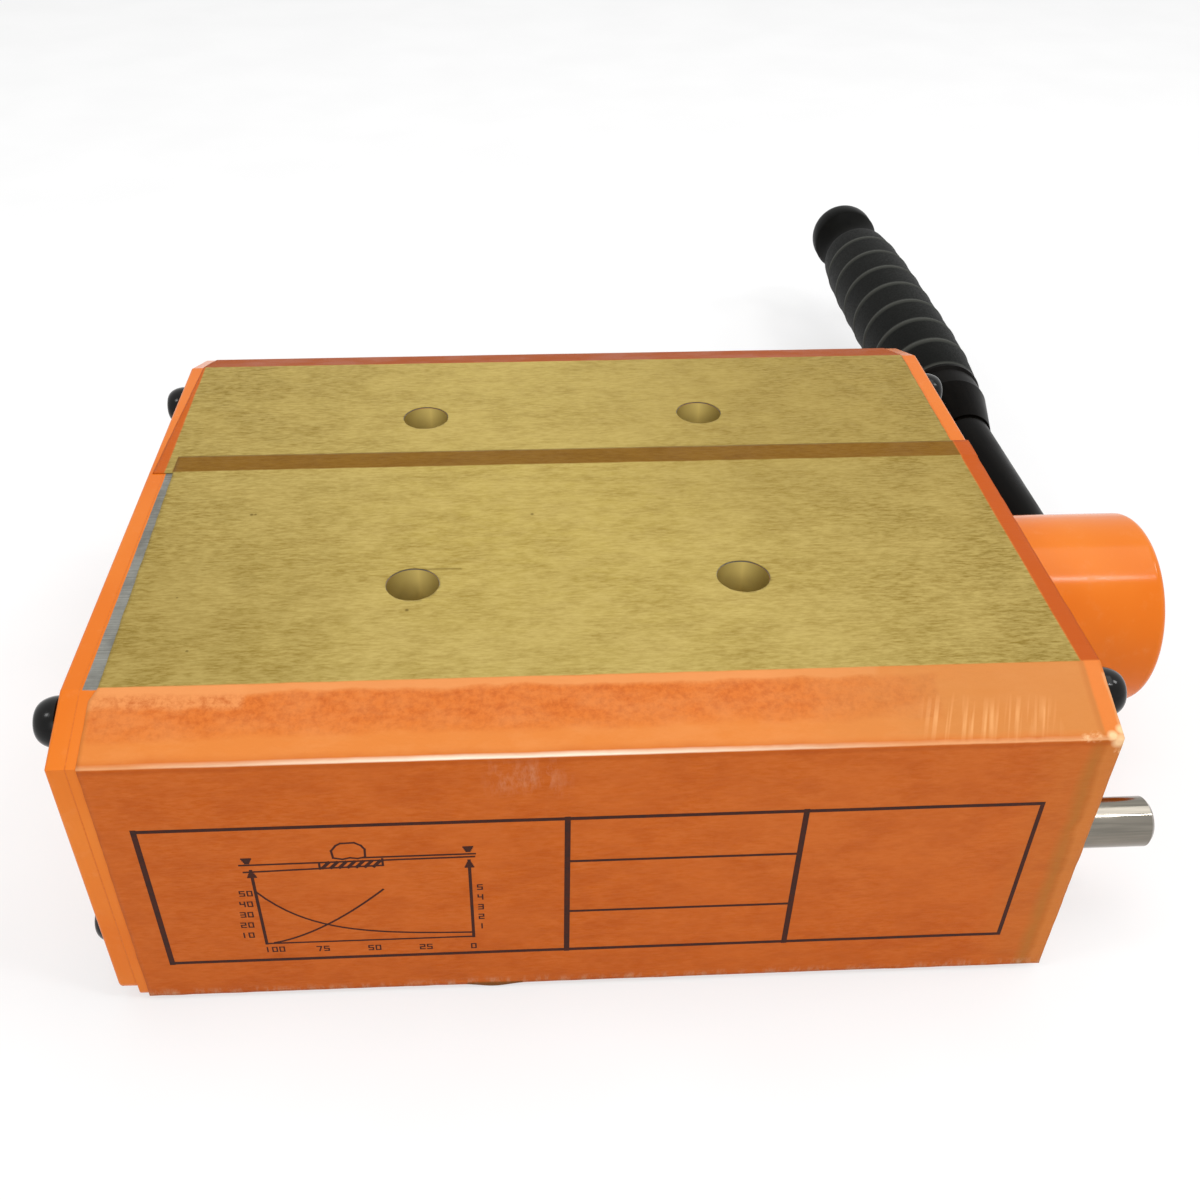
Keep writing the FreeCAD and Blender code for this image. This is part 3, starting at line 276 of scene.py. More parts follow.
blockEnd = body["halfLength"]
front = -body["halfDepth"]
top = body["height"]
onTop = top - 1  # above this, the paper lies on the top face
paperLook = {
    "patterns": {
        # the real fibres are a few hundredths of a millimetre thick, drawn as streaks of 1 mm
        "fibres": dict(size=0.62, low=0.36, high=0.62, detail=5, roughness=0.68, grain=(0.24, 1, 1)),
        "mottle": dict(size=4.5, low=0.42, high=0.64, detail=5, roughness=0.66, grain=(0.45, 1, 1)),
        "blotch": dict(size=17, low=0.42, high=0.62, detail=4, roughness=0.6),
        "crumbs": dict(size=1.6, low=0.42, high=0.66, detail=5, roughness=0.72),
        "pleats": dict(size=0.9, low=0.44, high=0.6, detail=1, grain=(1, 0.03, 0.03), turn=-18),
        "scuffs": dict(size=2.2, low=0.46, high=0.7, detail=5, roughness=0.75, grain=(1, 1, 0.35)),
    },
    # each zone: its lowest and highest corner, the softness of its border and how far it wanders
    "zones": {
        # over the ground steel of the top
        "middle": ((-66, None, None), (66, None, None), 70, 8),
        "lap": ((-blockEnd + 2, 12.3, onTop), (None, 19.6, None), 0.5, 0.12),  # two layers
        "warm": ((-40, -42, onTop), (24, 14, None), 36, 8),
        "rearRight": ((20, -8, onTop), anywhere, 50, 8),
        "frontLeft": ((None, None, onTop), (-62, -28, None), 30, 8),
        # thin dark line along the paper's crease: painted shade
        "crease": ((-38, -33.1, onTop), (-26.5, -32.5, None), 0.5, 0.35),
        "overSteel": ((-blockEnd, -71.05, onTop), (blockEnd, 71.05, None), 0.35, 0.1),
        # front bevel: its middle is mottled where the oil soaked in, with a ragged upper border; the
        # bevel's paler colour and its pale bands at the top, left and bottom are painted waxy sheen
        "bevel": ((None, front + 0.4, 74.6), (None, -71, None), 0.8, 0.2),
        "dryTop": ((None, -73.3, None), (60, None, None), 1.4, 0.8),
        "soaked": ((-100, -82.5, None), (72, -73.2, None), 1.2, 0.7),
        "dryLow": (anywhere, (None, -81.4, None), 4.5, 1.2),
        "dryLeft": ((None, -76.2, None), (-70, None, None), 1.4, 1.0),
        "yellowed": ((55, None, None), anywhere, 40, 6),
        "pleated": ((68, -86.6, 74), (94, -80, None), 4, 1.5),
        "seamBevel": ((blockEnd - 0.6, None, 74.6), (blockEnd + 0.8, -71, None), 0.9, 0.2),
        "endBevel": ((blockEnd + 0.6, None, 74.6), (None, -71, None), 0.6, 0.2),
        # fold between the front bevel and the front face: a painted highlight along it, brightest in the
        # middle, and painted shade under it
        "fold": ((None, None, 73.8), (None, front + 0.75, 74.3), 0.4, 0.05),
        "foldBright": ((-62, None, None), (32, None, None), 60, 2),
        "foldShade": ((None, front - 1, 72.4), (None, front + 0.6, 73.6), 0.8, 0.2),
        # front face, with a painted highlight patch near its top, the hem and the torn tab
        "leftFace": (anywhere, (-38, front + 1, 73), 70, 4),
        "pinkFace": ((28, front - 1, 30), (92, front + 1, 73), 30, 8),
        "seamFace": ((blockEnd - 1.8, None, None), (blockEnd + 1.2, front + 1, 74), 2.4, 0.7),
        "endFace": ((blockEnd + 1.4, None, None), (None, front + 1, 74), 1.2, 0.8),
        "rightEnd": ((93, front - 1, 2), (None, front + 1, 73), 8, 2),
        "rub": ((-21, front - 1, 64), (-5, front + 1, 73.2), 4, 1.5),
        "hem": (anywhere, (None, None, 2.6), 2.2, 0.7),
        "tab": ((-28, None, None), (-15, None, 1.5), 0.6, 0.2),
        # over the end plates and on the rear half
        "paleOuterEdge": ((body["plateEnd"] - 0.5, front, 73), (None, -74, None), 0.5, 0.3),
        "plateTop": ((blockEnd + 0.3, -71, onTop), anywhere, 0.3),
        "leftTop": ((None, None, onTop), (-blockEnd - 0.3, None, None), 0.3),
        "rearPart": ((None, 71.2, None), anywhere, 0.3),
    },
    # each mark: its place and its radius
    "marks": {
        "specks": [
            (-77.9, -8.2, top, 0.5), (-77, -8.2, top, 0.4), (-89.4, -41.2, top, 0.35),
            (-83.7, -60, top, 0.4), (-9.8, -10.8, top, 0.5), (-38.3, -47.8, top, 0.5),
        ],
        # bright spots on the folded front corner: painted highlight
        "corner": [(106.4, -88, 73.2, 1.5), (105, -87.6, 74.4, 1.1), (107, -86.4, 75, 1.1)],
        "cornerRest": [(101.6, -87.6, 74.4, 1.2), (99.4, -88, 74.2, 1.0), (106.8, -88.2, 70.6, 0.9)],
    },
    # coats over steel, over enamel and over both: where two names stand, both must hold
    "gold": "#836D2C",
    "goldCoats": [
        ("middle", 0.9, "#A7914A"),
        ("warm", 0.35, "#B49E3C"),
        ("mottle", 0.46, "#7C6218"),
        ("fibres", 0.5, "#C6B06A"),
        ("blotch", 0.28, "#C4AE6A"),
        ("rearRight", 0.45, "#765C1C"),
        ("frontLeft", 0.3, "#765F20"),
        ("lap", 0.93, "#744C06"),
        ("lap mottle", 0.35, "#603C04"),
        ("lap fibres", 0.2, "#9A7430"),
    ],
    "orange": "#BD5A12",
    "orangeCoats": [
        ("leftFace", 0.5, "#AE4C0C"),
        ("pinkFace", 0.5, "#C4763E"),
        ("fibres", 0.45, "#CC7236"),
        ("mottle", 0.45, "#AB4C11"),
        ("blotch", 0.4, "#C7692E"),
        # paler over the bevel than on the face: painted waxy sheen
        ("bevel", 0.95, "#D47E3A"),
        ("bevel dryTop", 0.9, "#DA8C50"),
        ("bevel soaked", 0.75, "#CE6C2A"),
        ("bevel dryLeft", 0.85, "#DC8E52"),
        ("soaked crumbs", 0.75, "#B4561E"),
        ("bevel dryLow", 0.75, "#D67E38"),
        ("bevel mottle", 0.25, "#E09456"),
        ("bevel yellowed", 0.6, "#C08044"),
        ("pleated pleats", 0.55, "#ECAC70"),
        ("rightEnd", 0.45, "#B87838"),
        ("plateTop", 0.85, "#B45018"),
        ("leftTop", 0.7, "#B85616"),
        ("rearPart", 0.9, "#96440A"),
        ("seamFace", 0.5, "#A06E2C"),
        ("endFace", 0.45, "#CC8440"),
        ("seamBevel", 0.35, "#B4642C"),
        ("endBevel", 0.7, "#E07A34"),
        # paler along the outer edge of the right end plate
        ("paleOuterEdge", 0.45, "#F0BC88"),
        ("foldShade", 0.45, "#A44810"),
        # painted highlight along the fold, brightest in the middle
        ("fold", 0.55, "#FFC48C"),
        ("fold foldBright", 0.85, "#FFF6E0"),
        # painted highlight on the folded front corner
        ("corner", 0.75, "#FFD8A4"),
        ("cornerRest crumbs", 0.8, "#FFD8A4"),
        # painted highlight: a faint gloss near the top of the front face
        ("rub scuffs", 0.6, "#D8A888"),
        ("hem scuffs", 0.6, "#C8A888"),
        ("tab", 0.8, "#6A4818"),
    ],
    # dark specks, and a painted shade line along the crease
    "markCoats": [("specks", 0.75, "#54400F"), ("crease", 0.55, "#5E4A12")],
    "relief": 0.05,
    "roughness": (0.5, 0.66),  # between and in the oil blotches
    "settings": {"IOR": 1.45, "Specular IOR Level": 0.11},
}


def oiledPaper():
    # kraft paper soaked with rust-proofing oil: steel under it reads gold and enamel reads
    # brown-orange, with fibres along the sheet and oil blotches; the pale fold, corner and gloss patch are
    # painted highlight
    material, tree = newFinish("oiledRustProofingPaper")
    masks = {name: patches(tree, **drawn) for name, drawn in paperLook["patterns"].items()}
    masks.update({name: zone(tree, *place) for name, place in paperLook["zones"].items()})
    masks.update({name: specks(tree, marks) for name, marks in paperLook["marks"].items()})

    def coated(base, coats):
        rows = []
        for where, cover, colour in coats:
            patterns = tuple(masks[name] for name in where.split())
            rows.append((patterns if len(patterns) > 1 else patterns[0], cover, colour))
        return paint(tree, base, rows)

    overSteel = coated(paperLook["gold"], paperLook["goldCoats"])
    overEnamel = coated(paperLook["orange"], paperLook["orangeCoats"])
    colour = coated(overEnamel, [("overSteel", 1, overSteel), *paperLook["markCoats"]])
    closeFinish(tree, colour, masks["blotch"], masks["fibres"], paperLook)
    return material


inkLook = {
    "dark": "#2E1004",
    "worn": "#542008",
    "wear": 1.2,
    "relief": 0.01,
    "roughness": (0.55, 0.7),
    "settings": {"Specular IOR Level": 0.2},
}


def printInk():
    # screen-printed ink, dark brown as it shows through the oiled paper
    material, tree = newFinish("brownScreenInk")
    worn = patches(tree, inkLook["wear"], 0.4, 0.75, detail=4, roughness=0.7)
    colour = paint(tree, inkLook["dark"], [(worn, 0.7, inkLook["worn"])])
    closeFinish(tree, colour, worn, worn, inkLook)
    return material


grip = {
    "start": 121.0,
    "length": 129.0,
    "endRadius": 13.3,
    "bulge": 2.0,
    "fullness": 4,  # 2 is a barrel, more is straighter with rounder ends
    "rings": 7,
    "ringHeight": 0.3,
    "ringWidth": 2.2,
    "ringPower": 0.6,  # less is squarer
    "shoulder": 4.5,
    "startRound": 0.8,
    "bore": 8.3,
    "mouth": 9.4,
    "mouthStart": 240.0,
    "step": 0.3,
    "segments": 96,
}
rubberLook = {
    "dark": "#080907",
    "handled": "#10110E",
    # grey of the painted highlight on the raised rings
    "ring": "#4A4B46",
    "ringHighlightReach": (0.2, 1.9),  # painted highlight, from the middle of a ring: full and gone
    "stipple": 0.7,  # the real one is about 0.3 mm, drawn coarser so that it shows
    "relief": 0.03,
    "roughness": (0.45, 0.6),
    "settings": {"IOR": 1.5, "Specular IOR Level": 0.05},
}


def gripRubber():
    # moulded rubber: matt, with a grey painted highlight on the raised rings
    material, tree = newFinish("mouldedBlackRubber")
    stipple = patches(tree, rubberLook["stipple"], detail=2, roughness=0.7)
    rubbed = patches(tree, 15, 0.42, 0.68, detail=4)
    # distance from the nearest ring along the lever
    place = addNode(tree, "TexCoord").outputs["Object"]
    along = addNode(tree, "SeparateXYZ", None, {0: place}).outputs["Y"]
    pitch = grip["length"] / (grip["rings"] + 1) * mm
    along = addNode(tree, "Math", {"operation": "SUBTRACT", 1: grip["start"] * mm}, {0: along})
    away = addNode(tree, "Math", {"operation": "PINGPONG", 1: pitch / 2}, {0: along})
    full, gone = rubberLook["ringHighlightReach"]
    settings = {"From Min": full * mm, "From Max": gone * mm, "To Min": 1.0, "To Max": 0.0}
    # painted highlight on each raised ring, fading away from its middle
    raised = addNode(tree, "MapRange", settings, {"Value": away})
    coats = [(rubbed, 0.5, rubberLook["handled"]), (raised, 0.8, rubberLook["ring"])]
    closeFinish(tree, paint(tree, rubberLook["dark"], coats), stipple, stipple, rubberLook)
    return material


# The other finishes are plain worked surfaces. Marks is the distance between their marks in
# millimetres, the marks run along the axes where grain is small, and parts are the CAD nodes
workedLooks = {
    # black oxide: a thin dark gloss over turned steel
    "blackOxideSteel": {
        "dark": "#040403", "light": "#0A0908", "marks": 2.0,
        "roughness": (0.12, 0.24), "relief": 0.01, "settings": {"IOR": 1.5, "Specular IOR Level": 0.2},
        "parts": [
            "left_plate_screws", "right_plate_screws", "left_flange_screws", "right_flange_screws",
            "hub_set_screw",
        ],
    },
    # black enamel on the lever: deep gloss over drawn tube, with dust in it
    "blackLeverEnamel": {
        "dark": "#050403", "light": "#0A0806", "marks": 2.0, "grain": (1, 0.1, 1), "dust": "#16130E",
        "roughness": (0.25, 0.37), "relief": 0.01, "settings": {"IOR": 1.5, "Specular IOR Level": 0.025},
        "parts": ["lever_tube", "grip_cone", "grip_ferrule"],
    },
    # polished stainless: bright, with fine lines along the pin, the real ones closer than these
    "polishedStainless": {
        "dark": "#7C776E", "light": "#8C867C", "marks": 1.0, "grain": (0.05, 1, 1),
        "roughness": (0.07, 0.19), "relief": 0.003, "settings": {"Metallic": 1.0},
        "parts": ["front_stop_pin", "rear_stop_pin"],
    },
    # turned steel: rings from the lathe, half a millimetre apart
    "turnedSteel": {
        "dark": "#8A8A8A", "light": "#A6A6A6", "marks": 0.5, "grain": (1, 0.2, 0.2),
        "roughness": (0.25, 0.37), "relief": 0.01, "settings": {"Metallic": 1.0},
        "parts": [
            "rotor_pole_front", "rotor_pole_rear", "left_rotor_flange", "right_rotor_flange",
            "shaft_key", "push_rod", "rod_clip", "button_spring", "spring_seat",
        ],
    },
    # surface-ground aluminium: pale, with lines along the block
    "groundAluminium": {
        "dark": "#A2A29E", "light": "#C0C0BC", "marks": 0.6, "grain": (0.03, 1, 1),
        "roughness": (0.31, 0.43), "relief": 0.01, "settings": {"Metallic": 1.0},
        "parts": ["bottom_divider", "rotor_wedges", "left_bearing_carrier", "right_bearing_carrier"],
    },
    # nickel plate on sintered magnets: warm and slightly pebbled
    "nickelPlatedMagnet": {
        "dark": "#9B978E", "light": "#B9B5AB", "marks": 0.8,
        "roughness": (0.19, 0.31), "relief": 0.02, "settings": {"Metallic": 1.0},
        "parts": ["stator_magnets", "rotor_magnets"],
    },
    # sintered bronze: brown and porous
    "sinteredBronze": {
        "dark": "#9A6B34", "light": "#B98A4E", "marks": 0.5,
        "roughness": (0.4, 0.52), "relief": 0.03, "settings": {"Metallic": 1.0},
        "parts": ["left_shaft_bush", "right_shaft_bush"],
    },
    # nitrile rubber of the seal: matt black
    "nitrileRubber": {
        "dark": "#111110", "light": "#1B1B19", "marks": 0.6,
        "roughness": (0.45, 0.57), "relief": 0.02, "settings": {"IOR": 1.5, "Specular IOR Level": 0.25},
        "parts": ["shaft_seal"],
    },
    # gasket paper whose edge was painted over with the body
    "paintedOverGasketPaper": {
        "dark": "#C86416", "light": "#D46F22", "marks": 0.8,
        "roughness": (0.35, 0.47), "relief": 0.02, "settings": {"IOR": 1.5, "Specular IOR Level": 0.14},
        "parts": ["left_gasket", "right_gasket"],
    },
    # moulded phenolic plastic of the button: an even black with a soft gloss
    "mouldedBlackPhenolic": {
        "dark": "#060605", "light": "#0C0C0A", "marks": 6.0, "dust": "#1A1A17",
        "roughness": (0.31, 0.43), "relief": 0.02, "settings": {"IOR": 1.55, "Specular IOR Level": 0.035},
    },
}


def workedSurface(name, look):
    material, tree = newFinish(name)
    grain = look.get("grain", (1, 1, 1))
    marks = patches(tree, look["marks"], detail=3, roughness=0.6, grain=grain)
    coats = [(marks, 1.0, look["light"])]
    if "dust" in look:
        coats.append((patches(tree, 2, 0.6, 0.75, detail=6, roughness=0.8), 0.5, look["dust"]))
    colour = paint(tree, look["dark"], coats)
    closeFinish(tree, colour, patches(tree, 12, detail=3), marks, look)
    return material


finish = {name: workedSurface(name, look) for name, look in workedLooks.items()}
enamel = stovingEnamel()
paper = oiledPaper()
ink = printInk()
rubber = gripRubber()

carriedOver = [(finish[name], look.get("parts", [])) for name, look in workedLooks.items()]
carriedOver += [
    (bodySteel(), ["front_pole_block", "rear_pole_block", "magnet_cover_strip"]),
    (enamel, ["left_end_plate", "right_end_plate", "lever_hub"]),
]
for material, names in carriedOver:
    for name in names:
        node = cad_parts[name]
        if not node.material_slots:
            node.data.materials.append(material)
        for slot in node.material_slots:
            slot.material = material
print("finishes assigned")


def newMesh(name, vertices, faces):
    mesh = bpy.data.meshes.new(name)
    mesh.from_pydata(vertices, [], faces)
    return mesh


def newObject(name, data):
    piece = bpy.data.objects.new(name, data)
    bpy.context.scene.collection.objects.link(piece)
    return piece


def meshObject(name, vertices, faces, material, bodyName, slotName, smooth=True, sharp=None):
    mesh = newMesh(name, vertices, faces)
    mesh.validate()
    mesh.update()
    for face in mesh.polygons:
        face.use_smooth = smooth
    if sharp is not None:
        mesh.set_sharp_from_angle(angle=math.radians(sharp))
    mesh.materials.append(material)
    piece = newObject(name, mesh)
    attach(piece, bodyName)
    return piece


def turnedSkin(profile, origin, along, segments, hexagonal=()):
    # closed skin of a turned piece; profile holds (place along the axis, radius), and the rings
    # whose numbers are in hexagonal get six flats, with the radius at their corners
    forward = Vector(along).normalized()
    side = forward.orthogonal().normalized()
    other = forward.cross(side)
    vertices = []
    rings = []
    for number, (place, radius) in enumerate(profile):
        centre = Vector(origin) + forward * place
        if radius <= 0:
            rings.append([len(vertices)] * segments)
            vertices.append(centre * mm)
            continue
        ring = []
        for i in range(segments):
            angle = math.tau * i / segments
            reach = radius
            if number in hexagonal:
                fromFlat = angle % (math.pi / 3) - math.pi / 6
                reach = radius * math.cos(math.pi / 6) / math.cos(fromFlat)
            ring.append(len(vertices))
            vertices.append((centre + (side * math.cos(angle) + other * math.sin(angle)) * reach) * mm)
        rings.append(ring)
    faces = []
    for first, second in zip(rings, rings[1:]):
        for i in range(segments):
            nextOne = (i + 1) % segments
            face = (first[i], first[nextOne], second[nextOne], second[i])
            faces.append(tuple(dict.fromkeys(face)))  # a triangle where a ring is a point
    return vertices, faces


def roundedRim(place, radius, bend, steps, farEnd=True):
    # quarter round on the rim of a turned piece, at its far or its near end
    points = []
    for i in range(steps + 1):
        angle = math.pi / 2 * i / steps
        back = bend * (1 - math.sin(angle))
        points.append((place - back if farEnd else place + back, radius - bend * (1 - math.cos(angle))))
    return points if farEnd else points[::-1]


def keepShown(piece):
    # the mesh with its modifiers becomes the piece's own
    graph = bpy.context.evaluated_depsgraph_get()
    shown = bpy.data.meshes.new_from_object(piece.evaluated_get(graph))
    piece.modifiers.clear()
    old = piece.data
    piece.data = shown
    bpy.data.meshes.remove(old)


drilling = {
    "segments": 72,
    "rimWave": 2.5,  # width in millimetres of the bulges in an uneven rim
}


def drilled(piece, drills):
    # cuts round holes; each drill is its start, direction, radius, length and wander of its rim
    for start, along, radius, length, wander in drills:
        profile = [(0, 0), (0, radius), (length, radius), (length, 0)]
        vertices, faces = turnedSkin(profile, start, along, drilling["segments"])
        for vertex in vertices:
            away = (vertex - Vector(start) * mm) * Vector((1, 1, 0))
            spot = away / (drilling["rimWave"] * mm) + Vector((start[0], start[1], 0))
            vertex += away * noise.noise(spot) * wander / radius
        drill = newObject("drill", newMesh("drill", vertices, faces))
        cut = piece.modifiers.new("hole", "BOOLEAN")
        cut.operation = "DIFFERENCE"
        cut.solver = "EXACT"
        cut.object = drill
        keepShown(piece)
        bpy.data.objects.remove(drill)


# Boss of the lever, with a rounded outer rim

boss = {
    "radius": (hubHigh.z - hubLow.z) / 2 / mm,
    "start": hubLow.x / mm,
    "end": hubHigh.x / mm,
    "rim": 2.6,
    "innerChamfer": 0.8,
    "shaftRadius": 12.02,
    "shaftEnd": 143.3,
    "screwX": 118.8,
    "screwRadius": 4.02,
    "screwHole": (8, 20),  # start, from the axis down, and length
    "tubeX": 137.0,
    "tubeRadius": 8.27,
    "tubeHole": (14, 16),  # start, from the axis to the rear, and length
    "segments": 144,
}
axis = body["axisHeight"]
profile = [
    (boss["start"], 0),
    (boss["start"], boss["radius"] - boss["innerChamfer"]),
    (boss["start"] + boss["innerChamfer"], boss["radius"]),
    *roundedRim(boss["end"], boss["radius"], boss["rim"], steps=10),
    (boss["end"], 0),
]
skin = turnedSkin(profile, (0, 0, axis), (1, 0, 0), boss["segments"])
bossPiece = meshObject("lever_boss", *skin, enamel, "rotor", "painted_steel")
shaftStart = boss["start"] - 1
shaftLength = boss["shaftEnd"] - shaftStart
tubeStart, tubeDepth = boss["tubeHole"]
screwStart, screwDepth = boss["screwHole"]
drills = [
    ((shaftStart, 0, axis), (1, 0, 0), boss["shaftRadius"], shaftLength, 0),
    ((boss["tubeX"], tubeStart, axis), (0, 1, 0), boss["tubeRadius"], tubeDepth, 0),
    ((boss["screwX"], 0, axis - screwStart), (0, 0, -1), boss["screwRadius"], screwDepth, 0),
]
drilled(bossPiece, drills)
bossPiece.data.set_sharp_from_angle(angle=math.radians(40))
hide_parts("lever_hub")

# Grip with seven raised rings

leverRoot = (boss["tubeX"], 0, axis)


def gripRadius(place):
    middle = grip["start"] + grip["length"] / 2
    share = (place - middle) / (grip["length"] / 2)
    radius = grip["endRadius"] + grip["bulge"] * (1 - share ** grip["fullness"])
    for i in range(1, grip["rings"] + 1):
        away = abs(place - grip["start"] - i * grip["length"] / (grip["rings"] + 1))
        reach = grip["ringWidth"] / 2
        if away < reach:
            ring = 0.5 + 0.5 * math.cos(math.pi * away / reach)
            radius += grip["ringHeight"] * ring ** grip["ringPower"]
    return radius


gripEnd = grip["start"] + grip["length"]
barrelStart = grip["start"] + grip["startRound"]
barrelEnd = gripEnd - grip["shoulder"]
profile = [(grip["start"], grip["bore"])]
profile += roundedRim(grip["start"], gripRadius(barrelStart), grip["startRound"], steps=4, farEnd=False)
steps = round((barrelEnd - barrelStart) / grip["step"])
for i in range(1, steps):
    place = barrelStart + (barrelEnd - barrelStart) * i / steps
    profile.append((place, gripRadius(place)))
profile += roundedRim(gripEnd, gripRadius(barrelEnd), grip["shoulder"], steps=10)
profile += [(gripEnd, grip["mouth"]), (grip["mouthStart"], grip["mouth"])]
profile += [(grip["mouthStart"], grip["bore"]), (grip["start"], grip["bore"])]
skin = turnedSkin(profile, leverRoot, (0, 1, 0), grip["segments"])
gripPiece = meshObject("ribbed_grip", *skin, rubber, "rotor", "grip_rubber", sharp=50)
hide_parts("hand_grip")

# Button at the end of the lever: a neck, a trumpet and a ball-like head

button = {
    "neckStart": 248.0,
    "neckRadius": 9.1,
    "neckLength": 9.0,
    "flareLength": 11.0,
    "flareSteps": 14,
    "flareBend": 0.6,
    "length": 37.0,
    "radius": 13.25,
    "dome": 11.5,
    "domeSteps": 24,
    "fullness": 0.9,  # 1 is an ellipse, less is squarer
    "stemStart": 226.0,
    "stemRadius": 4.55,
    "springRecess": 6.4,  # room in the stem for the spring when the button is pressed
    "springRadius": 4.3,
    "segments": 96,
}
recessEnd = button["stemStart"] + button["springRecess"]
neckEnd = button["neckStart"] + button["neckLength"]
buttonEnd = button["neckStart"] + button["length"]
profile = [
    (recessEnd, 0),
    (recessEnd, button["springRadius"]),
    (button["stemStart"], button["springRadius"]),
    (button["stemStart"], button["stemRadius"]),
    (button["neckStart"], button["stemRadius"]),
    (button["neckStart"], button["neckRadius"]),
]
for i in range(button["flareSteps"] + 1):
    share = i / button["flareSteps"]
    widening = (button["radius"] - button["neckRadius"]) * share * share
    widening *= 1 + button["flareBend"] * (1 - share)
    profile.append((neckEnd + button["flareLength"] * share, button["neckRadius"] + widening))
for i in range(1, button["domeSteps"]):
    angle = math.pi / 2 * i / button["domeSteps"]
    place = buttonEnd - button["dome"] * (1 - math.sin(angle))
    profile.append((place, button["radius"] * math.cos(angle) ** button["fullness"]))
profile.append((buttonEnd, 0))
skin = turnedSkin(profile, leverRoot, (0, 1, 0), button["segments"])
knob = meshObject("domed_button", *skin, finish["mouldedBlackPhenolic"], "button", "knob_plastic", sharp=50)
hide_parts("button_knob")
print("lever pieces built")

# Button-head screws of the end plates, each with a hexagon socket

screw = {
    "spots": [(-73, 73), (61, 73), (-76, 14), (76, 14)],
    "headRadius": 5.5,
    "headHeight": 5.4,
    "foot": 0.35,
    "wall": 0.6,  # height where the dome begins
    "crown": 2.55,  # radius at the top of the dome
    "domeSteps": 12,
    "socket": 2.3,
    "socketEdge": 0.2,
    "socketDepth": 2.5,
    "shankRadius": 3.0,
    "shankLength": 15.5,
    "segments": 60,
}
profile = [
    (-screw["shankLength"], 0),
    (-screw["shankLength"], screw["shankRadius"]),
    (0, screw["shankRadius"]),
    (0, screw["headRadius"] - screw["foot"]),
    (screw["foot"], screw["headRadius"]),
]
for i in range(screw["domeSteps"] + 1):
    angle = math.pi / 2 * i / screw["domeSteps"]
    rise = screw["wall"] + (screw["headHeight"] - screw["wall"]) * math.sin(angle)
    narrowing = (screw["headRadius"] - screw["crown"]) * (1 - math.cos(angle))
    profile.append((rise, screw["headRadius"] - narrowing))
flats = (len(profile) + 1, len(profile) + 2)
profile += [
    (screw["headHeight"], screw["socket"] + screw["socketEdge"]),
    (screw["headHeight"] - screw["socketEdge"], screw["socket"]),
    (screw["headHeight"] - screw["socketDepth"], screw["socket"]),
    (screw["headHeight"] - screw["socketDepth"], 0),
]
for name, end in (("left", -1), ("right", 1)):
    vertices = []
    faces = []
    for y, z in screw["spots"]:
        origin = (end * body["plateEnd"], y, z)
        points, skinFaces = turnedSkin(profile, origin, (end, 0, 0), screw["segments"], flats)
        first = len(vertices)
        vertices += points
        faces += [tuple(first + i for i in face) for face in skinFaces]
    look = (finish["blackOxideSteel"], "housing", "black_screw_steel")
    heads = meshObject(f"{name}_button_screws", vertices, faces, *look, sharp=35)
    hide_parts(f"{name}_plate_screws")
print("screws built")

# The two paper sheets. A sheet is laid out by x and by the distance from its edge on the top
# face, over the bevel and down the face

sheets = {
    "grid": 1.0,
    "gap": 0.05,  # paper to metal where it lies flat
    "thickness": 0.12,
    "wave": 0.06,
    "waveSize": 16,
    "ripple": 0.02,
    "rippleSize": 3,
    "bend": 0.8,  # half width of the bend at each edge
    "hem": 1.0,  # lower edge above the underside
    "ragged": 0.12,
    "raggedSize": 7,
    "raggedRows": 3,  # rows of the grid that the ragged edges draw along
    "tab": (-21.5, 4.5, 1.0),  # torn tab on the front edge: middle, half width and drop
    "lapFront": 12.0,
    "lapRear": 20.0,
    "lapStep": 0.24,
    "lapSlope": 1.2,
    "holeRadius": 6.08,
    "holeWander": 0.1,
    "holeCut": (-2, 5),  # from the top face, start and length
    "slant": (1.4, 2.4),  # how far the left edge of the front and of the rear sheet leans in
    "rearInset": 1.2,
    "cornerRun": 3,  # so far past the top face, the front sheet is square again
    "leanColumns": 8,  # columns of the grid that lean along
}
# crease that runs off the rear edge of the front left hole
crease = {"x": -24, "y": -30.6, "through": -30, "slope": 0.12, "width": 0.8, "reach": 10, "height": 0.18}
# upright pleats on the right part of the front bevel, strongest near its lower edge
pleats = {
    "places": [(83, 13, 1.0), (40, 12, 0.3)],  # middle, half width and share of the height
    "down": (0.72, 0.3),  # how far down the bevel they are highest, and half their reach
    "size": 2.1,
    "length": 30,
    "lean": 4,
    "density": 0.18,
    "power": 1.3,
    "height": 0.45,
}
bevelRun = body["halfDepth"] - body["topHalf"]
bevelDrop = body["height"] - body["faceHeight"]
bevelLength = math.hypot(bevelRun, bevelDrop)
faceLength = body["faceHeight"] - sheets["hem"]


def softNoise(*place):
    # between -1 and 1; a fixed third number picks one of its many fields
    return noise.noise(Vector(place))


def bell(value, middle, width):
    return math.exp(-(((value - middle) / width) ** 2))


def sheetLengths(side):
    # along a sheet: end of the part on the top, end of the bevel, lower edge
    top = body["topHalf"] + (sheets["lapRear"] if side < 0 else -sheets["lapFront"])
    return top, top + bevelLength, top + bevelLength + faceLength


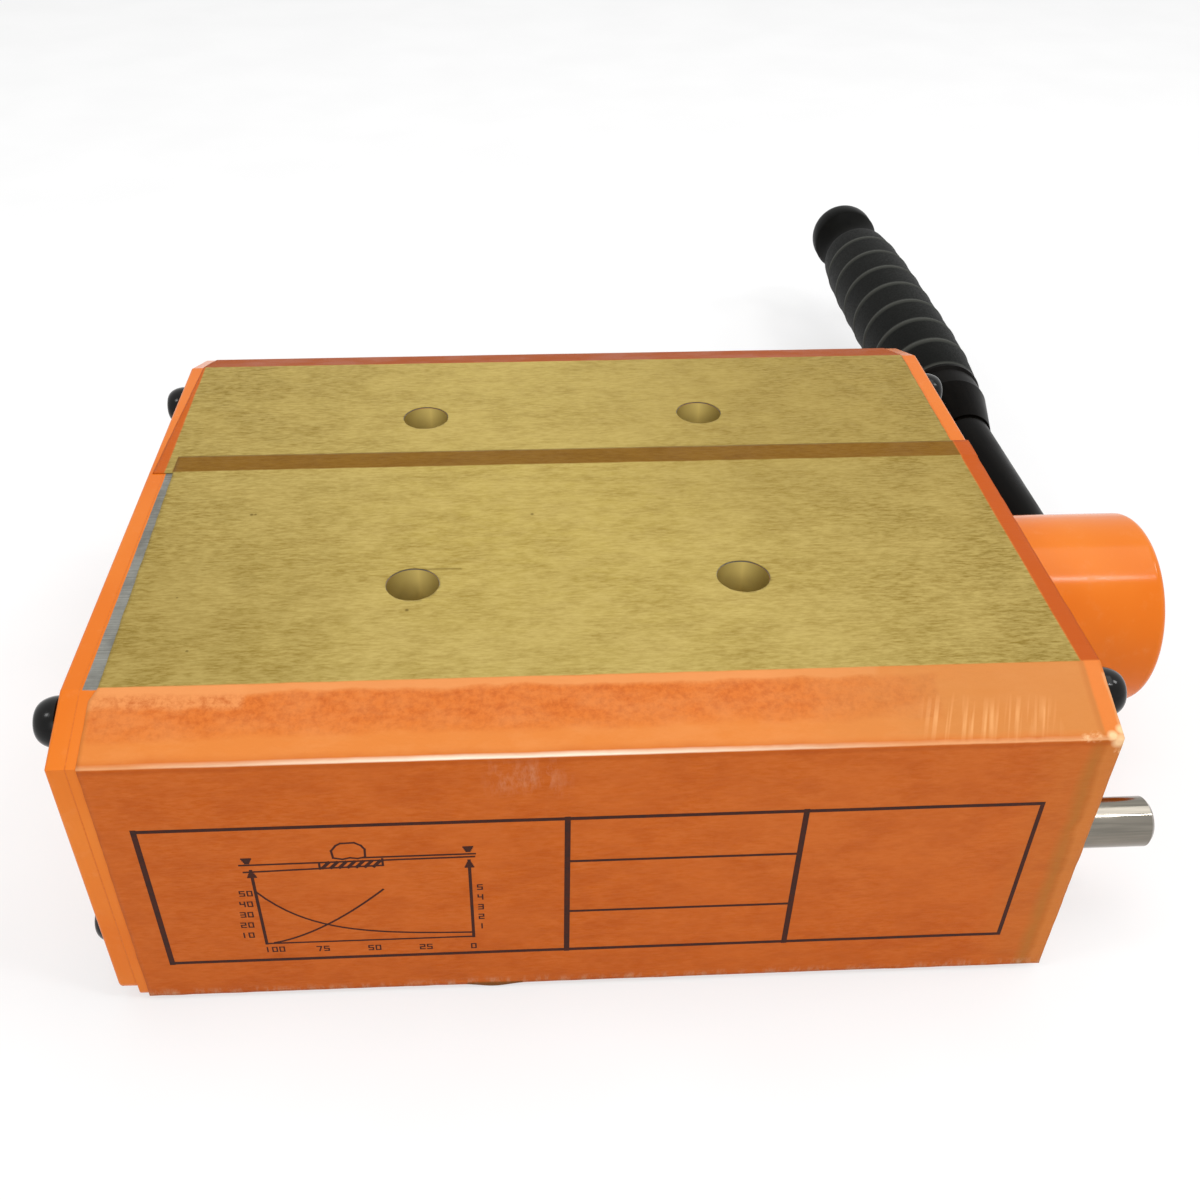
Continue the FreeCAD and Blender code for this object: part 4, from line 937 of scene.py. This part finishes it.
def sheetLine(side, distance):
    # place and outward direction, across the block, at a distance along the sheet
    topEnd, bevelEnd = sheetLengths(side)[:2]
    topDirection = Vector((0, 1))
    bevelDirection = Vector((side * bevelDrop, bevelRun)).normalized()
    faceDirection = Vector((side, 0))
    if distance < topEnd:
        place = Vector((side * (body["topHalf"] - topEnd + distance), body["height"]))
    elif distance < bevelEnd:
        share = (distance - topEnd) / bevelLength
        place = Vector((side * (body["topHalf"] + bevelRun * share), body["height"] - bevelDrop * share))
    else:
        place = Vector((side * body["halfDepth"], body["faceHeight"] - (distance - bevelEnd)))
    first = min(max((distance - topEnd) / sheets["bend"] / 2 + 0.5, 0), 1)
    second = min(max((distance - bevelEnd) / sheets["bend"] / 2 + 0.5, 0), 1)
    direction = topDirection.lerp(bevelDirection, first).lerp(faceDirection, second)
    return place, direction.normalized()


def pleat(x, down):
    window = sum(share * bell(x, middle, width) for middle, width, share in pleats["places"])
    ridge = softNoise((x + pleats["lean"] * down) / pleats["size"], down / pleats["length"], 3.1)
    ridge = max(ridge + pleats["density"], 0) ** pleats["power"]
    return pleats["height"] * window * ridge * bell(down, *pleats["down"])


def lift(side, x, distance):
    # outer face of the paper above the metal
    topEnd, bevelEnd = sheetLengths(side)[:2]
    size = sheets["waveSize"]
    small = sheets["rippleSize"]
    height = sheets["gap"] + sheets["thickness"]
    height += sheets["wave"] * (0.5 + 0.5 * softNoise(x / size, distance / size, 7.3 * side))
    height += sheets["ripple"] * (0.5 + 0.5 * softNoise(x / small, distance / small, 2.2))
    if side < 0:
        y = -(body["topHalf"] - topEnd + distance)
        past = (y - sheets["lapFront"]) / sheets["lapSlope"] + 1
        height += sheets["lapStep"] * min(max(past, 0), 1)
        if topEnd - 2 < distance < bevelEnd + 1:
            height += pleat(x, (distance - topEnd) / bevelLength)
        line = crease["y"] + crease["slope"] * (x - crease["through"])
        height += crease["height"] * bell(y, line, crease["width"]) * bell(x, crease["x"], crease["reach"])
    return height


def sheetSpot(side, x, distance, above=0.0):
    place, direction = sheetLine(side, distance)
    spot = place + direction * (lift(side, x, distance) + above)
    return Vector((x, spot.x, spot.y)) * mm


def leanIn(side, distance):
    # the left edges on the top face are not quite square to the block
    topEnd = sheetLengths(side)[0]
    frontSlant, rearSlant = sheets["slant"]
    share = min(distance / topEnd, 1)
    if side > 0:
        return sheets["rearInset"] + rearSlant * share
    return frontSlant * share * max(0, 1 - max(distance - topEnd, 0) / sheets["cornerRun"])


def paperSheet(name, side, ends, node):
    full = sheetLengths(side)[2]
    left, right = ends
    columns = round((right - left) / sheets["grid"])
    rows = round(full / sheets["grid"])
    size = sheets["raggedSize"]
    border = sheets["raggedRows"]
    tabMiddle, tabWidth, tabDrop = sheets["tab"]
    vertices = []
    for row in range(rows + 1):
        distance = full * row / rows
        for column in range(columns + 1):
            share = column / columns
            x = left + (right - left) * share
            pull = sheets["ragged"] * (1 - abs(softNoise(x / size, distance / size, side)) * 2)
            inward = -1 if share > 0.5 else 1
            shift = (-1 if row > rows / 2 else 1) * pull * max(0, 1 - min(row, rows - row) / border)
            if side < 0 and row > rows - border:
                shift += tabDrop * bell(x, tabMiddle, tabWidth)
            x += inward * pull * max(0, 1 - min(share, 1 - share) * columns / border)
            x += leanIn(side, distance) * max(0, 1 - share * columns / sheets["leanColumns"])
            vertices.append(sheetSpot(side, x, max(distance + shift, 0)))
    faces = []
    for row in range(rows):
        for column in range(columns):
            first = row * (columns + 1) + column
            face = (first, first + columns + 1, first + columns + 2, first + 1)
            faces.append(face if side < 0 else face[::-1])
    piece = meshObject(name, vertices, faces, paper, "housing", "wrap_paper")
    shell = piece.modifiers.new("thickness", "SOLIDIFY")
    shell.thickness = sheets["thickness"] * mm
    shell.offset = -1
    keepShown(piece)
    drills = []
    cutStart, cutLength = sheets["holeCut"]
    for end in (-1, 1):
        start = (end * body["boltX"], side * body["boltY"], body["height"] + cutStart)
        drills.append((start, (0, 0, 1), sheets["holeRadius"], cutLength, sheets["holeWander"]))
    drilled(piece, drills)
    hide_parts(node)


ends = (-body["halfLength"] + 2, body["plateEnd"])
paperSheet("front_paper", -1, ends, "front_wrap_sheet")
ends = (-body["plateEnd"], body["halfLength"] - 0.2)
paperSheet("rear_paper", 1, ends, "rear_wrap_sheet")
print("paper sheets laid")

# Print on the front face, which shows through the paper: a ruled frame with empty cells, and a
# chart whose scales carry plain numbers

label = {
    "left": -93.6,
    "right": 94.9,
    "top": 55.9,
    "bottom": 12.8,
    "rules": (-4.85, 45.0),
    "crossRules": (42.7, 26.2),
    "frameWidth": 0.95,
    "ruleWidth": 1.25,
    "crossWidth": 0.7,
    "thin": 0.5,
    "above": 0.02,
}
chart = {
    "left": -71.7,
    "right": -25.7,
    "bottom": 18.6,
    "top": 43.0,
    "rightTop": 44.0,
    "digitHeight": 1.5,
    "digitWidth": 0.95,
    "digitLine": 0.34,
    "digitPitch": 1.7,  # in digit widths
    "curveSteps": 24,
    # the curves: from and to which share of the width, and height as a share of the chart's
    "curves": [
        (0.0, 1.0, lambda share: 0.68 * math.exp(-4.1 * share) + 0.05),
        (0.04, 0.59, lambda share: 1.62 * share ** 1.6),
    ],
    # numbers of each scale, the place of the first one and the step to the next
    "scales": [
        (("50", "40", "30", "20", "10"), (-75.1, 35.0), (-0.4, -3.5)),
        (("5", "4", "3", "2", "1"), (-24.2, 34.6), (0, -3.3)),
        (("100", "75", "50", "25", "0"), (-72.3, 15.7), (11.5, -0.3)),
    ],
    # arrow heads of level strokes: the lowest stroke, then half the width of each upwards
    "arrowStep": 0.45,
    "arrows": [
        ((-71.7, 41.0), (0.8, 0.624, 0.448, 0.272, 0.096)),
        ((-25.7, 42.0), (0.8, 0.624, 0.448, 0.272, 0.096)),
        ((-72.2, 45.4), (0.3, 0.5, 0.7, 0.9)),
        ((-25.8, 46.9), (0.3, 0.5, 0.7, 0.9)),
    ],
    # sketch over the chart: long lines, a rounded body and a hatched plate under it
    "sketch": [
        [(-73.2, 42.6), (-43.9, 43.4), (-43.9, 45.4)],
        [(-73.8, 44.8), (-57.2, 44.9), (-57.2, 42.9)],
        [(-57.2, 44.9), (-24.6, 45.2)],
        [(-48.0, 46.0), (-24.4, 46.1)],
        [
            (-54.1, 46.2), (-54.3, 48.4), (-53.2, 50.0), (-52.2, 50.6), (-49.3, 50.7), (-48.0, 49.8),
            (-47.3, 48.6), (-47.4, 46.2), (-49.0, 45.8), (-50.6, 46.1), (-52.2, 45.7), (-54.1, 46.2),
        ],
    ],
    "hatch": [(-56.6, 43.2), (-55.2, 44.8)],
    "hatchCount": 7,
    "hatchStep": 1.8,
    "hatchWidth": 0.8,
}
# strokes of the plain digits on a box one unit wide and one high
digitStrokes = {
    "0": [[(0, 0), (1, 0), (1, 1), (0, 1), (0, 0)]],
    "1": [[(0.5, 0), (0.5, 1)]],
    "2": [[(0, 1), (1, 1), (1, 0.5), (0, 0.5), (0, 0), (1, 0)]],
    "3": [[(0, 1), (1, 1), (1, 0), (0, 0)], [(0, 0.5), (1, 0.5)]],
    "4": [[(0, 1), (0, 0.5), (1, 0.5)], [(1, 1), (1, 0)]],
    "5": [[(1, 1), (0, 1), (0, 0.5), (1, 0.5), (1, 0), (0, 0)]],
    "7": [[(0, 1), (1, 1), (0.5, 0)]],
}
printVertices = []
printFaces = []


def stroke(points, width):
    # a ribbon on the paper through points (x, z) of the front face, cut into short steps
    bevelEnd = sheetLengths(-1)[1]
    for start, end in zip(points, points[1:]):
        direction = Vector((end[0] - start[0], end[1] - start[1]))
        length = direction.length
        direction.normalize()
        half = Vector((-direction.y, direction.x)) * width / 2
        steps = max(1, math.ceil(length / 2))
        base = len(printVertices)
        for i in range(steps + 1):  # half a width past both ends, so that corners close
            middle = Vector(start) + direction * (-width / 2 + (length + width) * i / steps)
            for corner in (middle + half, middle - half):
                distance = bevelEnd + body["faceHeight"] - corner.y
                printVertices.append(sheetSpot(-1, corner.x, distance, label["above"]))
        for i in range(steps):
            first = base + 2 * i
            printFaces.append((first, first + 1, first + 3, first + 2))


def plainNumber(text, x, z):
    for i, digit in enumerate(text):
        left = x + i * chart["digitWidth"] * chart["digitPitch"]
        for line in digitStrokes[digit]:
            points = [(left + u * chart["digitWidth"], z + v * chart["digitHeight"]) for u, v in line]
            stroke(points, chart["digitLine"])


lowLeft, highLeft = [(label["left"], label[end]) for end in ("bottom", "top")]
lowRight, highRight = [(label["right"], label[end]) for end in ("bottom", "top")]
stroke([highLeft, highRight, lowRight, lowLeft], label["frameWidth"])
stroke([lowLeft, highLeft], label["ruleWidth"])
for x in label["rules"]:
    stroke([(x, label["bottom"]), (x, label["top"])], label["ruleWidth"])
for z in label["crossRules"]:
    stroke([(label["rules"][0], z), (label["rules"][1], z)], label["crossWidth"])

# the chart
chartWidth = chart["right"] - chart["left"]
chartHeight = chart["top"] - chart["bottom"]
lowLeft, lowRight = (chart["left"], chart["bottom"]), (chart["right"], chart["bottom"])
stroke([(chart["left"], chart["top"]), lowLeft], label["crossWidth"])
stroke([lowLeft, lowRight], label["thin"])
stroke([lowRight, (chart["right"], chart["rightTop"])], label["crossWidth"])
for first, last, shape in chart["curves"]:
    points = []
    for i in range(chart["curveSteps"] + 1):
        share = first + (last - first) * i / chart["curveSteps"]
        points.append((chart["left"] + chartWidth * share, chart["bottom"] + chartHeight * shape(share)))
    stroke(points, label["thin"])
for points in chart["sketch"]:
    stroke(points, label["thin"])
for i in range(chart["hatchCount"]):
    stroke([(x + chart["hatchStep"] * i, z) for x, z in chart["hatch"]], chart["hatchWidth"])
for (x, z), reaches in chart["arrows"]:
    for i, reach in enumerate(reaches):
        height = z + chart["arrowStep"] * i
        stroke([(x - reach, height), (x + reach, height)], label["thin"])
for numbers, (x, z), (stepX, stepZ) in chart["scales"]:
    for i, text in enumerate(numbers):
        plainNumber(text, x + stepX * i, z + stepZ * i)
meshObject("front_print", printVertices, printFaces, ink, "housing", "painted_steel", smooth=False)
print("print laid:", len(printFaces), "faces")

# Floor, light and camera

studio = {
    "floorReach": 9.0,
    "floorDrop": 0.0004,
    "floorWhite": 0.6,  # share of plain white in the floor that the camera and mirrors see
    "ambient": 0.5,
}


def whiteShare(tree):
    # 1 where the camera, a mirror or glass sees the white background, and 0 for plain light
    path = addNode(tree, "LightPath")
    share = path.outputs["Is Camera Ray"]
    for ray in ("Is Glossy Ray", "Is Transmission Ray"):
        share = addNode(tree, "Math", {"operation": "MAXIMUM"}, {0: share, 1: path.outputs[ray]})
    return share


def studioPaper():
    # matt white background paper with a trace of grain, which keeps the object's soft shadow
    material, tree = newFinish("whiteBackgroundPaper")
    colour = paint(tree, "#F2F2F2", [(patches(tree, 60, detail=2), 1.0, "#F7F7F7")])
    matt = addNode(tree, "BsdfDiffuse", {"Roughness": 0.5}, {"Color": colour})
    white = addNode(tree, "Emission", {"Color": "#FFFFFF", "Strength": 1.0})
    share = addNode(tree, "Math", {"operation": "MULTIPLY", 1: studio["floorWhite"]}, {0: whiteShare(tree)})
    both = addNode(tree, "MixShader", None, {0: share, 1: matt, 2: white})
    addNode(tree, "OutputMaterial", None, {"Surface": both})
    return material


reaches = (-studio["floorReach"], studio["floorReach"])
corners = [(x, y, -studio["floorDrop"]) for y in reaches for x in reaches]
floor = newObject("studio_floor", newMesh("studio_floor", corners, [(0, 1, 3, 2)]))
floor.data.materials.append(studioPaper())

lamps = {
    # a soft box overhead that the pin mirrors, a wide one in front that evens out the faces, a
    # narrow tube that draws the line on the boss, and two small ones for the glints of the screws
    "softbox_overhead": {"energy": 8.0, "size": (1.5, 0.8), "place": (0.2, 0.15, 1.3)},
    "softbox_front": {"energy": 6.0, "size": (1.2, 0.7), "place": (-0.1, -1.3, 0.75)},
    "tube_front": {"energy": 2.2, "size": (0.3, 0.035), "place": (0.63, -0.33, 1.1)},
    "spot_left": {"energy": 1.8, "size": (0.2, 0.2), "place": (-0.81, -0.28, 1.0)},
    "spot_right": {"energy": 1.8, "size": (0.2, 0.2), "place": (0.97, -0.01, 0.91)},
}
for name, lamp in lamps.items():
    data = bpy.data.lights.new(name, "AREA")
    data.shape = "RECTANGLE"
    data.size, data.size_y = lamp["size"]
    data.energy = lamp["energy"]
    piece = newObject(name, data)
    piece.location = lamp["place"]
    # it faces the object with its long side as near as can be to the X axis
    back = Vector(lamp["place"]).normalized()
    across = (Vector((1, 0, 0)) - back * back.x).normalized()
    piece.rotation_euler = Matrix((across, back.cross(across), back)).transposed().to_euler()


def studioWorld():
    # soft even light, seen as white by the camera and in what mirrors it
    world = bpy.data.worlds.new("studio")
    world.use_nodes = True
    tree = world.node_tree
    tree.nodes.clear()
    soft = addNode(tree, "Background", {"Color": "#FFFFFF", "Strength": studio["ambient"]})
    white = addNode(tree, "Background", {"Color": "#FFFFFF", "Strength": 1.0})
    both = addNode(tree, "MixShader", None, {0: whiteShare(tree), 1: soft, 2: white})
    addNode(tree, "OutputWorld", None, {"Surface": both})
    bpy.context.scene.world = world


studioWorld()
bpy.context.scene.view_settings.view_transform = "Standard"

view = {
    "place": (-15.083, -265.297, 247.565),
    "turn": (52.3029, -0.1839, -2.6398),
    "lens": 37.412,
    "sensor": 36.0,
    "shift": (0.03267, 0.00787),
    "nearest": 0.01,
}
cameraData = bpy.data.cameras.new("camera")
cameraData.lens = view["lens"]
cameraData.sensor_width = view["sensor"]
cameraData.shift_x, cameraData.shift_y = view["shift"]
cameraData.clip_start = view["nearest"]
camera = newObject("camera", cameraData)
camera.location = Vector(view["place"]) * mm
camera.rotation_euler = Euler([math.radians(angle) for angle in view["turn"]])
bpy.context.scene.camera = camera
print("light and camera set")
